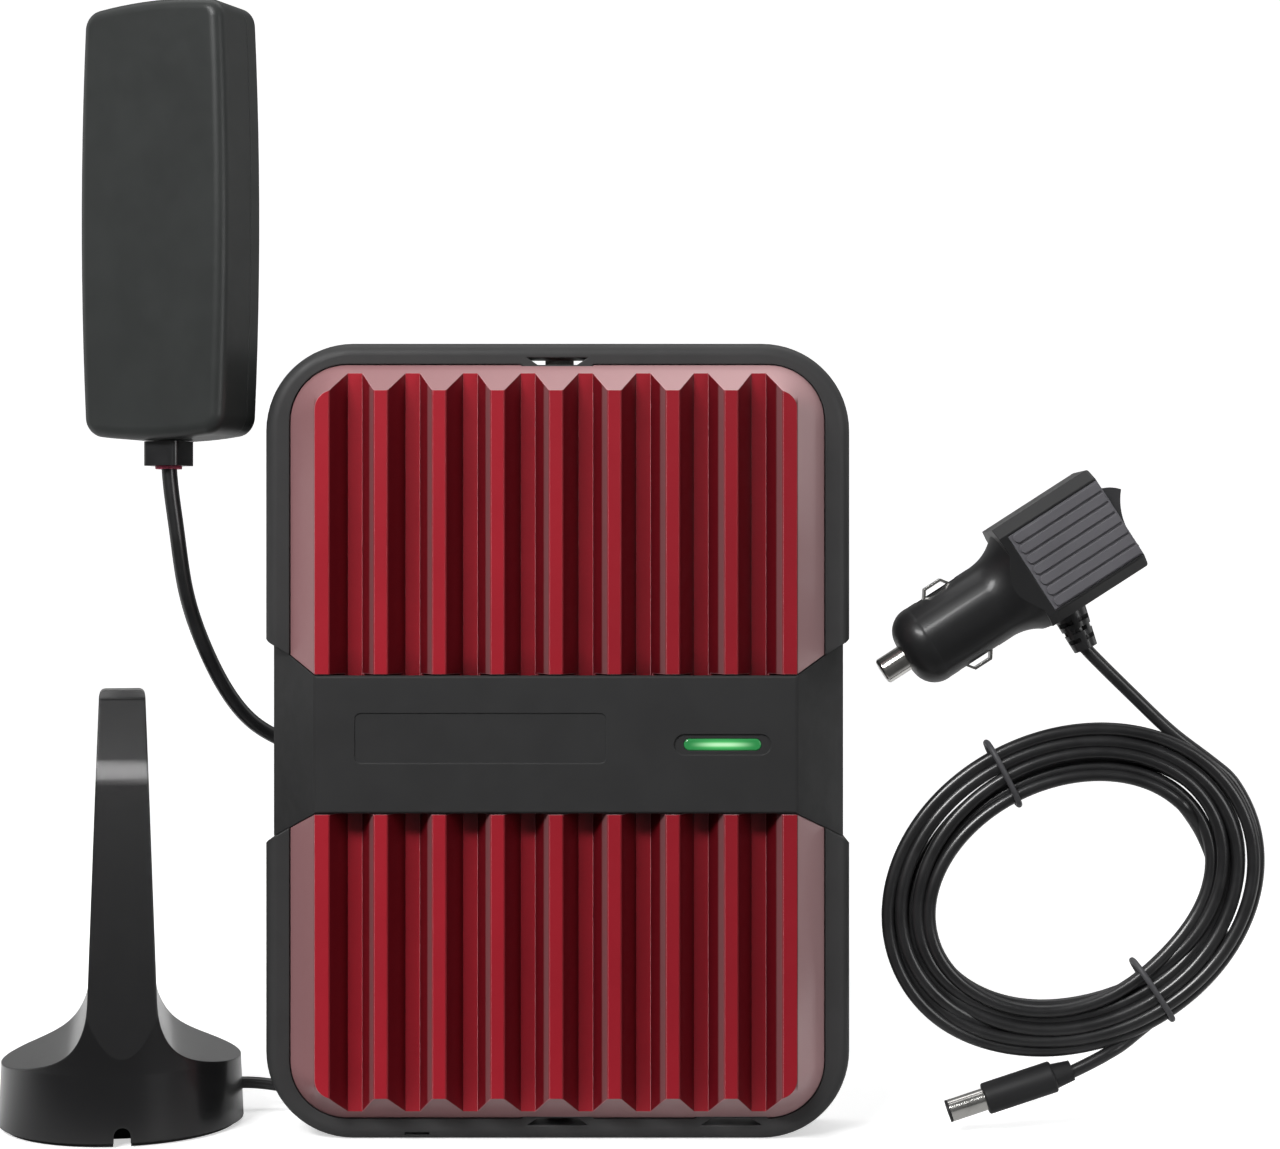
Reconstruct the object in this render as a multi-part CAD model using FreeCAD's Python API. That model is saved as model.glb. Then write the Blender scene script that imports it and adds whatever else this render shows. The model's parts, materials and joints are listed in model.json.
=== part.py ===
import FreeCAD, Part
import math
import os

# A vehicle cellular signal booster kit, in millimetres.  The booster stands on its bottom edge: x = 0 is
# its middle, y = 0 its mid-depth with the fins facing -Y, and z = 0 the surface that the kit stands on.
# To its left are the outside antenna on its magnetic base and the inside antenna, held up by its lead.
# To its right is the 12 V power supply with its coiled lead and its free plug.

os.makedirs("parts", exist_ok=True)
V = FreeCAD.Vector
ARC_STEP = 8.0            # a cord is built of pairs of arcs about this long
STRAIGHT = 1e-4           # anything that bends less than this is drawn as a line

# ---------------------------------------------------------------- driving dimensions of the booster
BOOSTER_W = 142.5
BOOSTER_H = 194.0
MID_Z = BOOSTER_H / 2
OUTLINE_R = 21.4          # corner radius of the frame's outline
FRAME_FRONT = -7.5        # the frame's front rim
FRAME_BACK = 18.0
OPENING_HALF_W = 65.2
OPENING_HALF_H = 91.8
OPENING_R = 14.0
SEAM = 0.2                # gap between the frame and the heat sink

PEAK_Y = -19.0            # front of the fins
SLOPE_Y = -7.0            # where the heat sink's sloping sides meet its straight walls
FLOOR_Y = -11.0           # bottom of the grooves between the fins
SINK_BACK = 14.0
PEAK_HALF_W = 57.6
PEAK_HALF_H = 84.6
PEAK_R = 4.5
FIN_PITCH = 13.95
FIN_TOP = 3.6
GROOVE_FLOOR = 3.5
FIN_BEVEL = 0.35
GROOVES = 8

BAND_FRONT = -19.4
BAND_HALF_H = 16.45       # half height on the front
BAND_FLARE = 0.59         # extra half height for each mm outwards on its legs
BAND_END_X = 70.2
BAND_WALL = 2.4
BAND_LEG_Y = 4.0
BAND_GAP = 0.3
CHANNEL_Y = -12.0         # floor of the heat sink's channel under the band

LAMP_X = 39.8
LENS_LENGTH = 18.5
LENS_HEIGHT = 2.8

BAY_HALF_W = 10.0         # the pockets for the plugs, open to the edge and to the back
BAY_DEPTH = 17.0
BAY_FRONT = 2.5
BAY_WALL = 2.5
PORT_Y = 10.5             # axis of every jack
POWER_X = 42.3

BOARD_Y = 4.0
BOARD_T = 1.6
COVER_Y = 14.8
COVER_T = 2.5
FOOT_BACK = 19.0

# ---------------------------------------------------------------- driving dimensions of the antennas
INSIDE_AT = (-96.7, 4.0)
INSIDE_BOTTOM = 170.7
INSIDE_W = 43.5
INSIDE_H = 108.0
INSIDE_D = 16.5
INSIDE_TURN = -25.0       # turned about Z, so that its right side shows
INSIDE_LEAD_R = 1.9

OUTSIDE_AT = (-110.2, 13.6)
OUTSIDE_R = 30.2
OUTSIDE_H = 109.0
OUTSIDE_RIM = 16.2
OUTSIDE_TURN = 11.6       # turned about Z
OUTSIDE_LEAD_R = 1.5

# ---------------------------------------------------------------- driving dimensions of the power supply
TIP_AT = V(79.7, 0, 113.5)  # end of the plug's sprung tip
SUPPLY_TILT = 57.2          # the supply's own Z, from tip to switch, leans this far over to +X
NOSE = 6.7
BARREL_R = 10.0
BARREL_END = 31.0
HEAD_START = 40.5
HEAD_END = 68.2
HEAD_MID_X = -1.45
HEAD_HALF_W = 13.8
HEAD_HALF_D = 11.2
SHELL_WALL = 2.0
ROCKER_X = -0.8
ROCKER_S = 66.0
ROCKER_R = 8.95
ROCKER_TILT = 15.0
ROCKER_CORNER = 54.0        # angle of the rocker's two top corners from its middle line
CORD_R = 1.55
BORE_PLAY = 0.2             # every bore for a cord is this much larger than the cord's radius
COIL_AT = (126.3, 60.7)
COIL_TILT = 25.0
COIL_TURNS = 5
COIL_PITCH = 3.3
PLUG_R = 2.75               # 5.5 mm direct-current plug
PLUG_ROOT_R = 2.0           # the hidden end of its barrel


# ---------------------------------------------------------------- helpers
def keep(name, *solids):
    """Write one node, which is one solid or a group of alike solids."""
    shape = solids[0] if len(solids) == 1 else Part.makeCompound(list(solids))
    bad = [s for s in shape.Solids if not s.isValid()]
    print(f"{name:24s} solids {len(shape.Solids)} volume {shape.Volume:10.1f} {'INVALID' if bad else ''}")
    shape.exportStep(f"parts/{name}.step")


def box(x0, x1, y0, y1, z0, z1):
    return Part.makeBox(x1 - x0, y1 - y0, z1 - z0, V(x0, y0, z0))


def rod(radius, start, axis, length):
    return Part.makeCylinder(radius, length, V(*start), V(*axis))


def tube(outer, inner, start, axis, length):
    return rod(outer, start, axis, length).cut(rod(inner, start, axis, length))


def line(a, b):
    return Part.LineSegment(a, b).toShape()


def rounded_wire(half_w, half_h, radius, y, cx=0.0, cz=MID_Z):
    """A rounded rectangle in the plane at y."""
    edges = []
    ends = []
    for quarter, (sx, sz) in enumerate(((1, 1), (-1, 1), (-1, -1), (1, -1))):
        px = cx + sx * (half_w - radius)
        pz = cz + sz * (half_h - radius)
        turns = [math.radians(90 * quarter + step) for step in (0, 45, 90)]
        arc = [V(px + radius * math.cos(t), y, pz + radius * math.sin(t)) for t in turns]
        if ends and (ends[-1] - arc[0]).Length > 1e-6:
            edges.append(line(ends[-1], arc[0]))
        edges.append(Part.Arc(*arc).toShape())
        ends += [arc[0], arc[2]]
    if (ends[-1] - ends[0]).Length > 1e-6:
        edges.append(line(ends[-1], ends[0]))
    return Part.Wire(edges)


def plate(half_w, half_h, radius, y0, y1, cx=0.0, cz=MID_Z):
    """A rounded rectangle with a thickness along Y."""
    return Part.Face(rounded_wire(half_w, half_h, radius, y0, cx, cz)).extrude(V(0, y1 - y0, 0))


def prism_xz(points, y0, y1):
    wire = Part.makePolygon([V(x, y0, z) for x, z in points + points[:1]])
    return Part.Face(wire).extrude(V(0, y1 - y0, 0))


def prism_xy(points, z0, z1):
    wire = Part.makePolygon([V(x, y, z0) for x, y in points + points[:1]])
    return Part.Face(wire).extrude(V(0, 0, z1 - z0))


def mirrored(half):
    """A polyline for x > 0, from the middle outwards, joined to its mirror image at -x."""
    return [(-x, w) for x, w in reversed(half)] + list(half)


def fused(solids):
    whole = solids[0]
    for solid in solids[1:]:
        whole = whole.fuse(solid)
    return whole.removeSplitter()


def smooth_curve(points):
    """A smooth curve through the points, and its length along the chords between them."""
    places = [V(*p) for p in points]
    lengths = [0.0]
    for a, b in zip(places, places[1:]):
        lengths.append(lengths[-1] + (b - a).Length)
    curve = Part.BSplineCurve()
    curve.interpolate(Points=places, Parameters=lengths)
    return curve, lengths[-1]


def tangent_arc(start, heading, end):
    """The arc that sets off from start along heading and lands on end, and its final heading."""
    chord = end - start
    along = chord.dot(heading)
    side = chord - heading * along
    if side.Length < STRAIGHT * chord.Length:
        return Part.LineSegment(start, end).toShape(), heading
    side.normalize()
    radius = chord.dot(chord) / (2 * chord.dot(side))
    centre = start + side * radius
    outward = (start + end) * 0.5 - centre
    outward.normalize()
    arc = Part.Arc(start, centre + outward * radius, end).toShape()
    final = chord * (2 * along / chord.dot(chord)) - heading
    final.normalize()
    return arc, final


def arc_joint(start, heading, end, goal):
    """The point where two equal-legged arcs meet on the way from one heading to another."""
    chord = end - start
    spread = 2 * (1 - heading.dot(goal))
    reach = chord.dot(heading + goal)
    if spread < STRAIGHT ** 2:
        leg = chord.dot(chord) / (4 * chord.dot(goal))
    else:
        leg = (math.sqrt(reach * reach + spread * chord.dot(chord)) - reach) / spread
    return (start + end + (heading - goal) * leg) * 0.5


def swept(points, radius):
    """A round cord along a smooth curve through the points, built of short tangent arcs."""
    curve, total = smooth_curve(points)
    count = math.ceil(total / ARC_STEP)
    heading = curve.tangent(0)[0]
    ring = Part.Wire([Part.makeCircle(radius, curve.value(0), heading)])
    arcs = []
    for i in range(count):
        start = curve.value(total * i / count)
        end = curve.value(total * (i + 1) / count)
        joint = arc_joint(start, heading, end, curve.tangent(total * (i + 1) / count)[0])
        first, heading = tangent_arc(start, heading, joint)
        second, heading = tangent_arc(joint, heading, end)
        arcs += [first, second]
    return Part.Wire(arcs).makePipe(Part.Face(ring))


def hexagon(across_flats, start, axis, length):
    """A hexagonal bar along +Z or -Z."""
    corner = across_flats / math.sqrt(3)
    points = []
    for i in range(6):
        turn = math.radians(60 * i)
        points.append((start[0] + corner * math.cos(turn), start[1] + corner * math.sin(turn)))
    ends = sorted((start[2], start[2] + axis * length))
    return prism_xy(points, ends[0], ends[1])


def screw(x, z, head_y, along, head_r, head_t, shank_r, length):
    """A pan-head screw along Y: its head ends at head_y and its shank runs the way of along."""
    head = rod(head_r, (x, head_y, z), (0, -along, 0), head_t)
    return head.fuse(rod(shank_r, (x, head_y, z), (0, along, 0), length)).removeSplitter()


# ---------------------------------------------------------------- booster: shared outlines
def slope_point(y, inwards=0.0):
    """x on the band's sloping leg at y, moved inwards from its outer surface."""
    run = BAND_END_X - PEAK_HALF_W
    rise = run * (SLOPE_Y - PEAK_Y) / (OPENING_HALF_W - PEAK_HALF_W - SEAM)
    length = math.hypot(run, rise)
    x0 = PEAK_HALF_W - inwards * rise / length
    y0 = BAND_FRONT + inwards * run / length
    return x0 + (y - y0) * run / rise


def slope_y(x, inwards=0.0):
    """y on the same leg at x."""
    run = slope_point(1.0, inwards) - slope_point(0.0, inwards)
    return (x - slope_point(0.0, inwards)) / run


def band_outline(grow=0.0):
    """The band seen from the front: straight across the fins, then widening over both sloping sides."""
    end = BAND_END_X + 2.0
    wide = BAND_HALF_H + BAND_FLARE * (end - PEAK_HALF_W)
    top = mirrored([(PEAK_HALF_W, MID_Z + BAND_HALF_H + grow), (end, MID_Z + wide + grow)])
    bottom = [(x, 2 * MID_Z - z) for x, z in reversed(top)]
    return top + bottom


def band_envelope(grow, inwards, floor_y, leg_y):
    """Everything outside the band's inner surface, for cutting the parts that the band sits on."""
    far = BOOSTER_W
    leg_x = BAND_END_X - BAND_WALL - grow
    inner = mirrored([
        (slope_point(floor_y, inwards), floor_y),
        (leg_x, slope_y(leg_x, inwards)),
        (leg_x, leg_y + grow),
        (far, leg_y + grow),
        (far, -far),
    ])
    region = prism_xy(inner, MID_Z - BOOSTER_H / 2, MID_Z + BOOSTER_H / 2)
    return region.common(prism_xz(band_outline(grow), -far, far))


def bays():
    """(centre x, edge z, direction into the booster) of the three plug pockets."""
    return [(0.0, BOOSTER_H, -1), (0.0, 0.0, 1), (POWER_X, 0.0, 1)]


def bay_space(cx, edge_z, inward, extra=0.0, front=BAY_FRONT):
    ends = sorted((edge_z - inward, edge_z + inward * (BAY_DEPTH + extra)))
    return box(cx - BAY_HALF_W - extra, cx + BAY_HALF_W + extra, front, FRAME_BACK + 3, ends[0], ends[1])


def notch_bump(cx, edge_z, inward, grow=0.0):
    """The frame's rim swells inwards at each pocket."""
    inner = edge_z + inward * (BOOSTER_H / 2 - OPENING_HALF_H)
    points = [
        (cx - 9.0 - grow, inner - inward),
        (cx - 9.0 - grow, inner),
        (cx - 7.4 - grow, inner + inward * (1.3 + grow)),
        (cx + 7.4 + grow, inner + inward * (1.3 + grow)),
        (cx + 9.0 + grow, inner),
        (cx + 9.0 + grow, inner - inward),
    ]
    return prism_xz(points, FRAME_FRONT, -2.0 + grow)


def notch_window(cx, edge_z, inward):
    """A slot through the rim, so that the plug shows."""
    low = edge_z + inward * 3.6
    high = edge_z + inward * 5.4
    points = [(cx - 7.5, low), (cx + 7.5, low), (cx + 4.75, high), (cx - 4.75, high)]
    return prism_xz(points, FRAME_FRONT - 1, BAY_FRONT + 1)


# ---------------------------------------------------------------- booster: pieces
SCREW_SPOTS = [(sx * 57.0, MID_Z + sz) for sx in (-1, 1) for sz in (-83.5, -28.0, 28.0, 83.5)]
BOARD_SPOTS = [(sx * 52.0, MID_Z + sz) for sx in (-1, 1) for sz in (-62.0, 0.0, 62.0)]
BAND_SPOTS = [(sx * 22.0, MID_Z + sz) for sx in (-1, 1) for sz in (-9.0, 9.0)]
BAND_SPOTS += [(-54.5, MID_Z - 9.0), (54.5, MID_Z - 9.0)]
AMPLIFIER_SPOTS = [(-34.0, 56.0), (-34.0, 140.0), (34.0, 56.0), (34.0, 140.0)]
M3 = 1.5
M3_HOLE = 1.55


def bumper_frame():
    block = plate(BOOSTER_W / 2, BOOSTER_H / 2, OUTLINE_R, FRAME_FRONT, FRAME_BACK)
    rims = [e for e in block.Edges if e.BoundBox.YLength < 0.01]
    block = block.makeFillet(3.0, rims)
    frame = block.cut(plate(OPENING_HALF_W, OPENING_HALF_H, OPENING_R, -50, 50))
    frame = frame.fuse([notch_bump(*bay) for bay in bays()])
    step = (BOOSTER_W / 2 - BAND_END_X)
    reach = BAND_HALF_H + BAND_FLARE * (BAND_END_X - PEAK_HALF_W)
    for side in (-1, 1):
        points = [
            (side * BAND_END_X, MID_Z - reach),
            (side * (BAND_END_X + 2 * step), MID_Z - reach - 2 * step),
            (side * (BAND_END_X + 2 * step), MID_Z + reach + 2 * step),
            (side * BAND_END_X, MID_Z + reach),
        ]
        frame = frame.cut(prism_xz(points, -50, 50))
    frame = frame.cut(band_envelope(0.1, BAND_WALL + 0.1, CHANNEL_Y, BAND_LEG_Y))
    for bay in bays():
        frame = frame.cut(bay_space(*bay))
        frame = frame.cut(notch_window(*bay))
    drain = prism_xz([(-37.2, 1.1), (-31.2, 1.1), (-31.2, 1.9), (-37.2, 1.9)], FRAME_FRONT - 1, -5.5)
    return frame.cut(drain).removeSplitter()


def groove(cx):
    """One tapering groove between two fins, open at both ends."""
    top = (FIN_PITCH - FIN_TOP) / 2
    bottom = GROOVE_FLOOR / 2
    points = mirrored([
        (bottom, FLOOR_Y),
        (top - 0.02, PEAK_Y + FIN_BEVEL),
        (top + FIN_BEVEL, PEAK_Y),
        (top + FIN_BEVEL, PEAK_Y - 1),
    ])
    return prism_xy([(cx + x, y) for x, y in points], -1, BOOSTER_H + 1)


def heat_sink():
    half_w = OPENING_HALF_W - SEAM
    half_h = OPENING_HALF_H - SEAM
    wall_r = OPENING_R - SEAM
    foot = rounded_wire(half_w, half_h, wall_r, SLOPE_Y)
    front = [foot, rounded_wire(PEAK_HALF_W, PEAK_HALF_H, PEAK_R, PEAK_Y)]
    sink = plate(half_w, half_h, wall_r, SLOPE_Y, SINK_BACK).fuse(Part.makeLoft(front, True, True))
    for i in range(GROOVES):
        sink = sink.cut(groove(FIN_PITCH * (i - (GROOVES - 1) / 2)))
    hollow = plate(61.5, 88.1, 10.0, -6.0, 30.0)
    for bay in bays():
        hollow = hollow.cut(bay_space(*bay, extra=BAY_WALL, front=-6.0))
    for x, z in SCREW_SPOTS:
        hollow = hollow.cut(rod(4.8, (x, -7, z), (0, 1, 0), 40))
    for x, z in BOARD_SPOTS:
        hollow = hollow.cut(rod(3.5, (x, -7, z), (0, 1, 0), BOARD_Y + 7))
    for x, z in AMPLIFIER_SPOTS:
        hollow = hollow.cut(box(x - 8, x + 8, -7, BOARD_Y - 3.1, z - 8, z + 8))
    sink = sink.cut(hollow)
    sink = sink.cut(band_envelope(BAND_GAP, BAND_WALL + 0.15, CHANNEL_Y, 20.0))
    for bay in bays():
        cx, edge_z, inward = bay
        sink = sink.cut(bay_space(*bay))
        sink = sink.cut(notch_bump(*bay, grow=SEAM))
        jack_hole = 3.25 if cx == 0 else 4.1
        sink = sink.cut(rod(jack_hole, (cx, PORT_Y, edge_z + inward * (BAY_DEPTH - 1)), (0, 0, inward), 5))
    for x, z in SCREW_SPOTS:
        sink = sink.cut(rod(M3_HOLE, (x, 2, z), (0, 1, 0), 20))
    for x, z in BOARD_SPOTS:
        sink = sink.cut(rod(1.3, (x, -3, z), (0, 1, 0), 20))
    for x, z in BAND_SPOTS:
        sink = sink.cut(rod(1.6, (x, -20, z), (0, 1, 0), 30))
    sink = sink.cut(box(LAMP_X - 3.5, LAMP_X + 3.5, -20, 0, MID_Z - 7.4, MID_Z - 5.4))
    return sink.removeSplitter()


def band_bevel(side):
    """The small bevel along the band's upper or lower front edge."""
    edge = MID_Z + side * BAND_HALF_H
    size = 0.45
    points = [V(-PEAK_HALF_W, BAND_FRONT - 1, edge - side * (size + 1)),
              V(-PEAK_HALF_W, BAND_FRONT + size + 1, edge + side * 1),
              V(-PEAK_HALF_W, BAND_FRONT - 1, edge + side * 1)]
    return Part.Face(Part.makePolygon(points + points[:1])).extrude(V(2 * PEAK_HALF_W, 0, 0))


def centre_band():
    outer = mirrored([
        (PEAK_HALF_W - 0.5, BAND_FRONT),
        (slope_point(BAND_FRONT + 0.5), BAND_FRONT + 0.5),
        (BAND_END_X, slope_y(BAND_END_X)),
        (BAND_END_X, BAND_LEG_Y),
    ])
    leg_x = BAND_END_X - BAND_WALL
    back_y = BAND_FRONT + BAND_WALL
    inner = mirrored([
        (slope_point(back_y, BAND_WALL), back_y),
        (leg_x, slope_y(leg_x, BAND_WALL)),
        (leg_x, BAND_LEG_Y),
    ])
    band = prism_xy(outer + inner[::-1], 0, BOOSTER_H).common(prism_xz(band_outline(), -50, 50))
    for side in (-1, 1):
        band = band.cut(band_bevel(side))
    for x, z in BAND_SPOTS:
        band = band.fuse(rod(3.0, (x, CHANNEL_Y - 0.1, z), (0, -1, 0), 5.5))
    for x, z in BAND_SPOTS:
        band = band.cut(rod(1.3, (x, CHANNEL_Y, z), (0, -1, 0), 5.0))
    recess = plate(11.6, 2.5, 2.49, BAND_FRONT - 1, BAND_FRONT + 0.45, LAMP_X, MID_Z)
    half_l = LENS_LENGTH / 2 + 0.05
    half_h = LENS_HEIGHT / 2 + 0.05
    slot = plate(half_l, half_h, half_h - 0.01, -30, 0, LAMP_X, MID_Z)
    nameplate = plate(30.0, 6.0, 1.5, BAND_FRONT - 1, BAND_FRONT + 0.25, -18.0, MID_Z + 1.5)
    band = band.cut(recess)
    band = band.cut(nameplate)
    return band.cut(slot).removeSplitter()


def light_pipe():
    half_h = LENS_HEIGHT / 2
    lens = plate(LENS_LENGTH / 2, half_h, half_h - 0.01, BAND_FRONT + 0.1, -14.6, LAMP_X, MID_Z)
    edges = [e for e in lens.Edges if e.BoundBox.YMax < BAND_FRONT + 0.2]
    return lens.makeFillet(0.4, edges)


def status_board():
    board = box(LAMP_X - 10, LAMP_X + 10, -13.1, CHANNEL_Y - 0.1, MID_Z - 8.5, MID_Z + 5)
    lamps = [box(LAMP_X + x - 1, LAMP_X + x + 1, -14.4, -13.1, MID_Z - 0.8, MID_Z + 0.8) for x in (-6, 0, 6)]
    return fused([board.cut(box(LAMP_X - 3.2, LAMP_X + 3.2, -20, 0, MID_Z - 7.1, MID_Z - 5.7))] + lamps)


def status_ribbon():
    return box(LAMP_X - 3, LAMP_X + 3, -14.0, BOARD_Y - 0.05, MID_Z - 6.8, MID_Z - 6.0)


def main_board():
    board = plate(56.0, 84.0, 4.0, BOARD_Y, BOARD_Y + BOARD_T)
    for bay in bays():
        board = board.cut(bay_space(*bay, extra=BAY_WALL + 1.0, front=-6.0))
    for x, z in SCREW_SPOTS:
        board = board.cut(rod(5.2, (x, -7, z), (0, 1, 0), 40))
    for x, z in BOARD_SPOTS:
        board = board.cut(rod(1.6, (x, -7, z), (0, 1, 0), 40))
    return board


def shield_cans():
    cans = []
    for cx, cz, w, h in ((-28, 128, 40, 50), (28, 128, 40, 50), (-28, 62, 40, 46), (28, 62, 40, 46)):
        y0 = BOARD_Y + BOARD_T
        can = box(cx - w / 2, cx + w / 2, y0, y0 + 4.5, cz - h / 2, cz + h / 2)
        in_w = w / 2 - 0.4
        in_h = h / 2 - 0.4
        cans.append(can.cut(box(cx - in_w, cx + in_w, y0, y0 + 4.1, cz - in_h, cz + in_h)))
    return cans


def amplifiers():
    return [box(x - 5, x + 5, BOARD_Y - 1.6, BOARD_Y, z - 5, z + 5) for x, z in AMPLIFIER_SPOTS]


def thermal_pads():
    return [box(x - 6, x + 6, BOARD_Y - 3.1, BOARD_Y - 1.6, z - 6, z + 6) for x, z in AMPLIFIER_SPOTS]


def filter_blocks():
    spots = [(x, z) for x in (-12.0, 12.0) for z in (46.0, 60.0, 134.0, 148.0)]
    return [box(x - 7, x + 7, BOARD_Y - 3.5, BOARD_Y, z - 4, z + 4) for x, z in spots]


def back_cover():
    cover = plate(OPENING_HALF_W - 0.3, OPENING_HALF_H - 0.3, OPENING_R - 0.3, COVER_Y, COVER_Y + COVER_T)
    for bay in bays():
        cover = cover.cut(bay_space(*bay))
    for x, z in SCREW_SPOTS:
        cover = cover.cut(rod(M3_HOLE, (x, 0, z), (0, 1, 0), 40))
        cover = cover.cut(rod(3.0, (x, COVER_Y + 0.9, z), (0, 1, 0), 5))
    return cover.removeSplitter()


def cover_gasket():
    ring = plate(64.0, 90.6, 12.8, SINK_BACK, COVER_Y).cut(plate(62.2, 88.8, 11.0, 0, 30))
    for bay in bays():
        ring = ring.cut(bay_space(*bay, extra=BAY_WALL - 0.6))
        around = bay_space(*bay, extra=BAY_WALL - 0.3).cut(bay_space(*bay, extra=0.7))
        ring = ring.fuse(around.common(box(-90, 90, SINK_BACK, COVER_Y, 1.5, BOOSTER_H - 1.5)))
    keep_in = plate(64.0, 90.6, 12.8, SINK_BACK, COVER_Y)
    ring = ring.common(keep_in)
    return ring.removeSplitter()


def rubber_feet():
    feet = []
    for x in (-46.0, 46.0):
        for z in (MID_Z - 62.0, MID_Z + 62.0):
            foot = rod(6.0, (x, COVER_Y + COVER_T, z), (0, 1, 0), FOOT_BACK - COVER_Y - COVER_T)
            feet.append(foot.makeChamfer(0.5, [e for e in foot.Edges if e.BoundBox.YMin > FOOT_BACK - 0.01]))
    return feet


# ---------------------------------------------------------------- booster: jacks and antenna plugs
JACK_R = 3.15
JACK_END = 7.0
NECK_R = 2.62
BLOCK_START = 9.9
BLOCK_END = 16.0
EXIT_S = (BLOCK_START + BLOCK_END) / 2


def placed_port(shape, upwards):
    """From the port's own frame, with its mouth along +Z at the origin, to the top or the bottom pocket."""
    copy = shape.copy()
    if not upwards:
        copy.rotate(V(0, 0, 0), V(0, 1, 0), 180)
    copy.translate(V(0, PORT_Y, BOOSTER_H - BAY_DEPTH if upwards else BAY_DEPTH))
    return copy


def antenna_jack(upwards):
    inside = box(-3.2, 3.2, -3.2, 3.2, -BAY_WALL - 6.0, -BAY_WALL)
    leg = box(-0.6, 0.6, -PORT_Y + BOARD_Y + BOARD_T + 0.05, -3.2, -BAY_WALL - 4.0, -BAY_WALL - 2.8)
    barrel = rod(JACK_R, (0, 0, -BAY_WALL), (0, 0, 1), BAY_WALL + JACK_END)
    shell = fused([inside, leg, barrel]).cut(rod(2.3, (0, 0, 2), (0, 0, 1), 9))
    core = tube(2.25, 0.6, (0, 0, 2), (0, 0, 1), 4.5)
    lock = hexagon(8.0, (0, 0, 0.05), 1, 1.9).cut(rod(JACK_R + 0.05, (0, 0, -1), (0, 0, 1), 9))
    return [placed_port(s, upwards) for s in (shell, core, lock)]


def plug_nut(upwards):
    nut = hexagon(8.0, (0, 0, 2.3), 1, 7.3)
    nut = nut.common(Part.makeCone(3.9, 4.75, 1.0, V(0, 0, 2.3)).fuse(
        rod(4.75, (0, 0, 3.3), (0, 0, 1), 5.3)).fuse(Part.makeCone(4.75, 3.9, 1.0, V(0, 0, 8.6))))
    nut = nut.cut(rod(JACK_R + 0.07, (0, 0, 2), (0, 0, 1), 6.4))
    nut = nut.cut(rod(NECK_R + 0.08, (0, 0, 2), (0, 0, 1), 9))
    return placed_port(nut.removeSplitter(), upwards)


def plug_body(upwards, lead_r):
    flange = rod(3.05, (0, 0, JACK_END + 0.1), (0, 0, 1), 1.2)
    neck = rod(NECK_R, (0, 0, JACK_END + 0.1), (0, 0, 1), BLOCK_START - JACK_END)
    pin = rod(0.45, (0, 0, 3.0), (0, 0, 1), 6.0)
    block = box(-3.5, 3.5, -3.5, 3.5, BLOCK_START, BLOCK_END)
    edges = [e for e in block.Edges if e.BoundBox.YLength < 0.01 or e.BoundBox.YMax < 0]
    block = block.makeChamfer(0.6, edges)
    ferrule = rod(2.9, (0, 3.5, EXIT_S), (0, 1, 0), 3.5)
    sleeve = Part.makeCone(2.85, lead_r + 0.75, 4.0, V(0, 7.0, EXIT_S), V(0, 1, 0))
    body = fused([flange, neck, pin, block, ferrule, sleeve])
    body = body.cut(rod(lead_r + 2 * BORE_PLAY, (0, 5.0, EXIT_S), (0, 1, 0), 20))
    return placed_port(body, upwards)


def exit_point(upwards, out):
    z = BOOSTER_H - BAY_DEPTH + EXIT_S if upwards else BAY_DEPTH - EXIT_S
    return (0.0, PORT_Y + out, z)


def power_jack():
    """A coaxial power jack: a 5.5 mm plug goes up into it around the centre pin."""
    face = BAY_DEPTH - 3.5
    back = SINK_BACK - 0.2
    body = box(POWER_X - 4.6, POWER_X + 4.6, PORT_Y - 4.6, back, BAY_DEPTH + BAY_WALL, BAY_DEPTH + 13)
    snout = rod(3.45, (POWER_X, PORT_Y, face), (0, 0, 1), 8.0)
    jack = fused([body.cut(box(0, 90, SINK_BACK - 0.4, 30, 0, 90)), snout])
    jack = jack.cut(rod(PLUG_R + 0.15, (POWER_X, PORT_Y, face), (0, 0, 1), 10.0))
    return jack.fuse(rod(1.05, (POWER_X, PORT_Y, face + 1.0), (0, 0, 1), 10.0)).removeSplitter()


# ---------------------------------------------------------------- inside antenna
def inside_place(shape):
    copy = shape.copy()
    copy.rotate(V(0, 0, 0), V(0, 0, 1), INSIDE_TURN)
    copy.translate(V(INSIDE_AT[0], INSIDE_AT[1], INSIDE_BOTTOM))
    return copy


def inside_body(shrink=0.0):
    """The whole case: sides bowed outwards, top and bottom crowned, soft front edge."""
    half = INSIDE_W / 2 - shrink
    bow = 1.5
    crown = 1.6
    low = shrink
    high = INSIDE_H - shrink
    corners = [(-half + bow, low + crown), (half - bow, low + crown),
               (half - bow, high - crown), (-half + bow, high - crown)]
    middles = [(0, low), (half, INSIDE_H / 2), (0, high), (-half, INSIDE_H / 2)]
    front = -INSIDE_D / 2 + shrink
    back = INSIDE_D / 2 - shrink
    edges = []
    for i in range(4):
        trio = [corners[i], middles[i], corners[(i + 1) % 4]]
        edges.append(Part.Arc(*[V(x, front, z) for x, z in trio]).toShape())
    case = Part.Face(Part.Wire(edges)).extrude(V(0, back - front, 0))
    corner_edges = [e for e in case.Edges if e.BoundBox.YLength > 1]
    case = case.makeFillet(5.0 - shrink, corner_edges)
    if shrink:
        return case
    case = case.makeFillet(3.0, [e for e in case.Edges if e.BoundBox.YMax < front + 0.01])
    return case.makeFillet(1.2, [e for e in case.Edges if e.BoundBox.YMin > back - 0.01])


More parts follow.
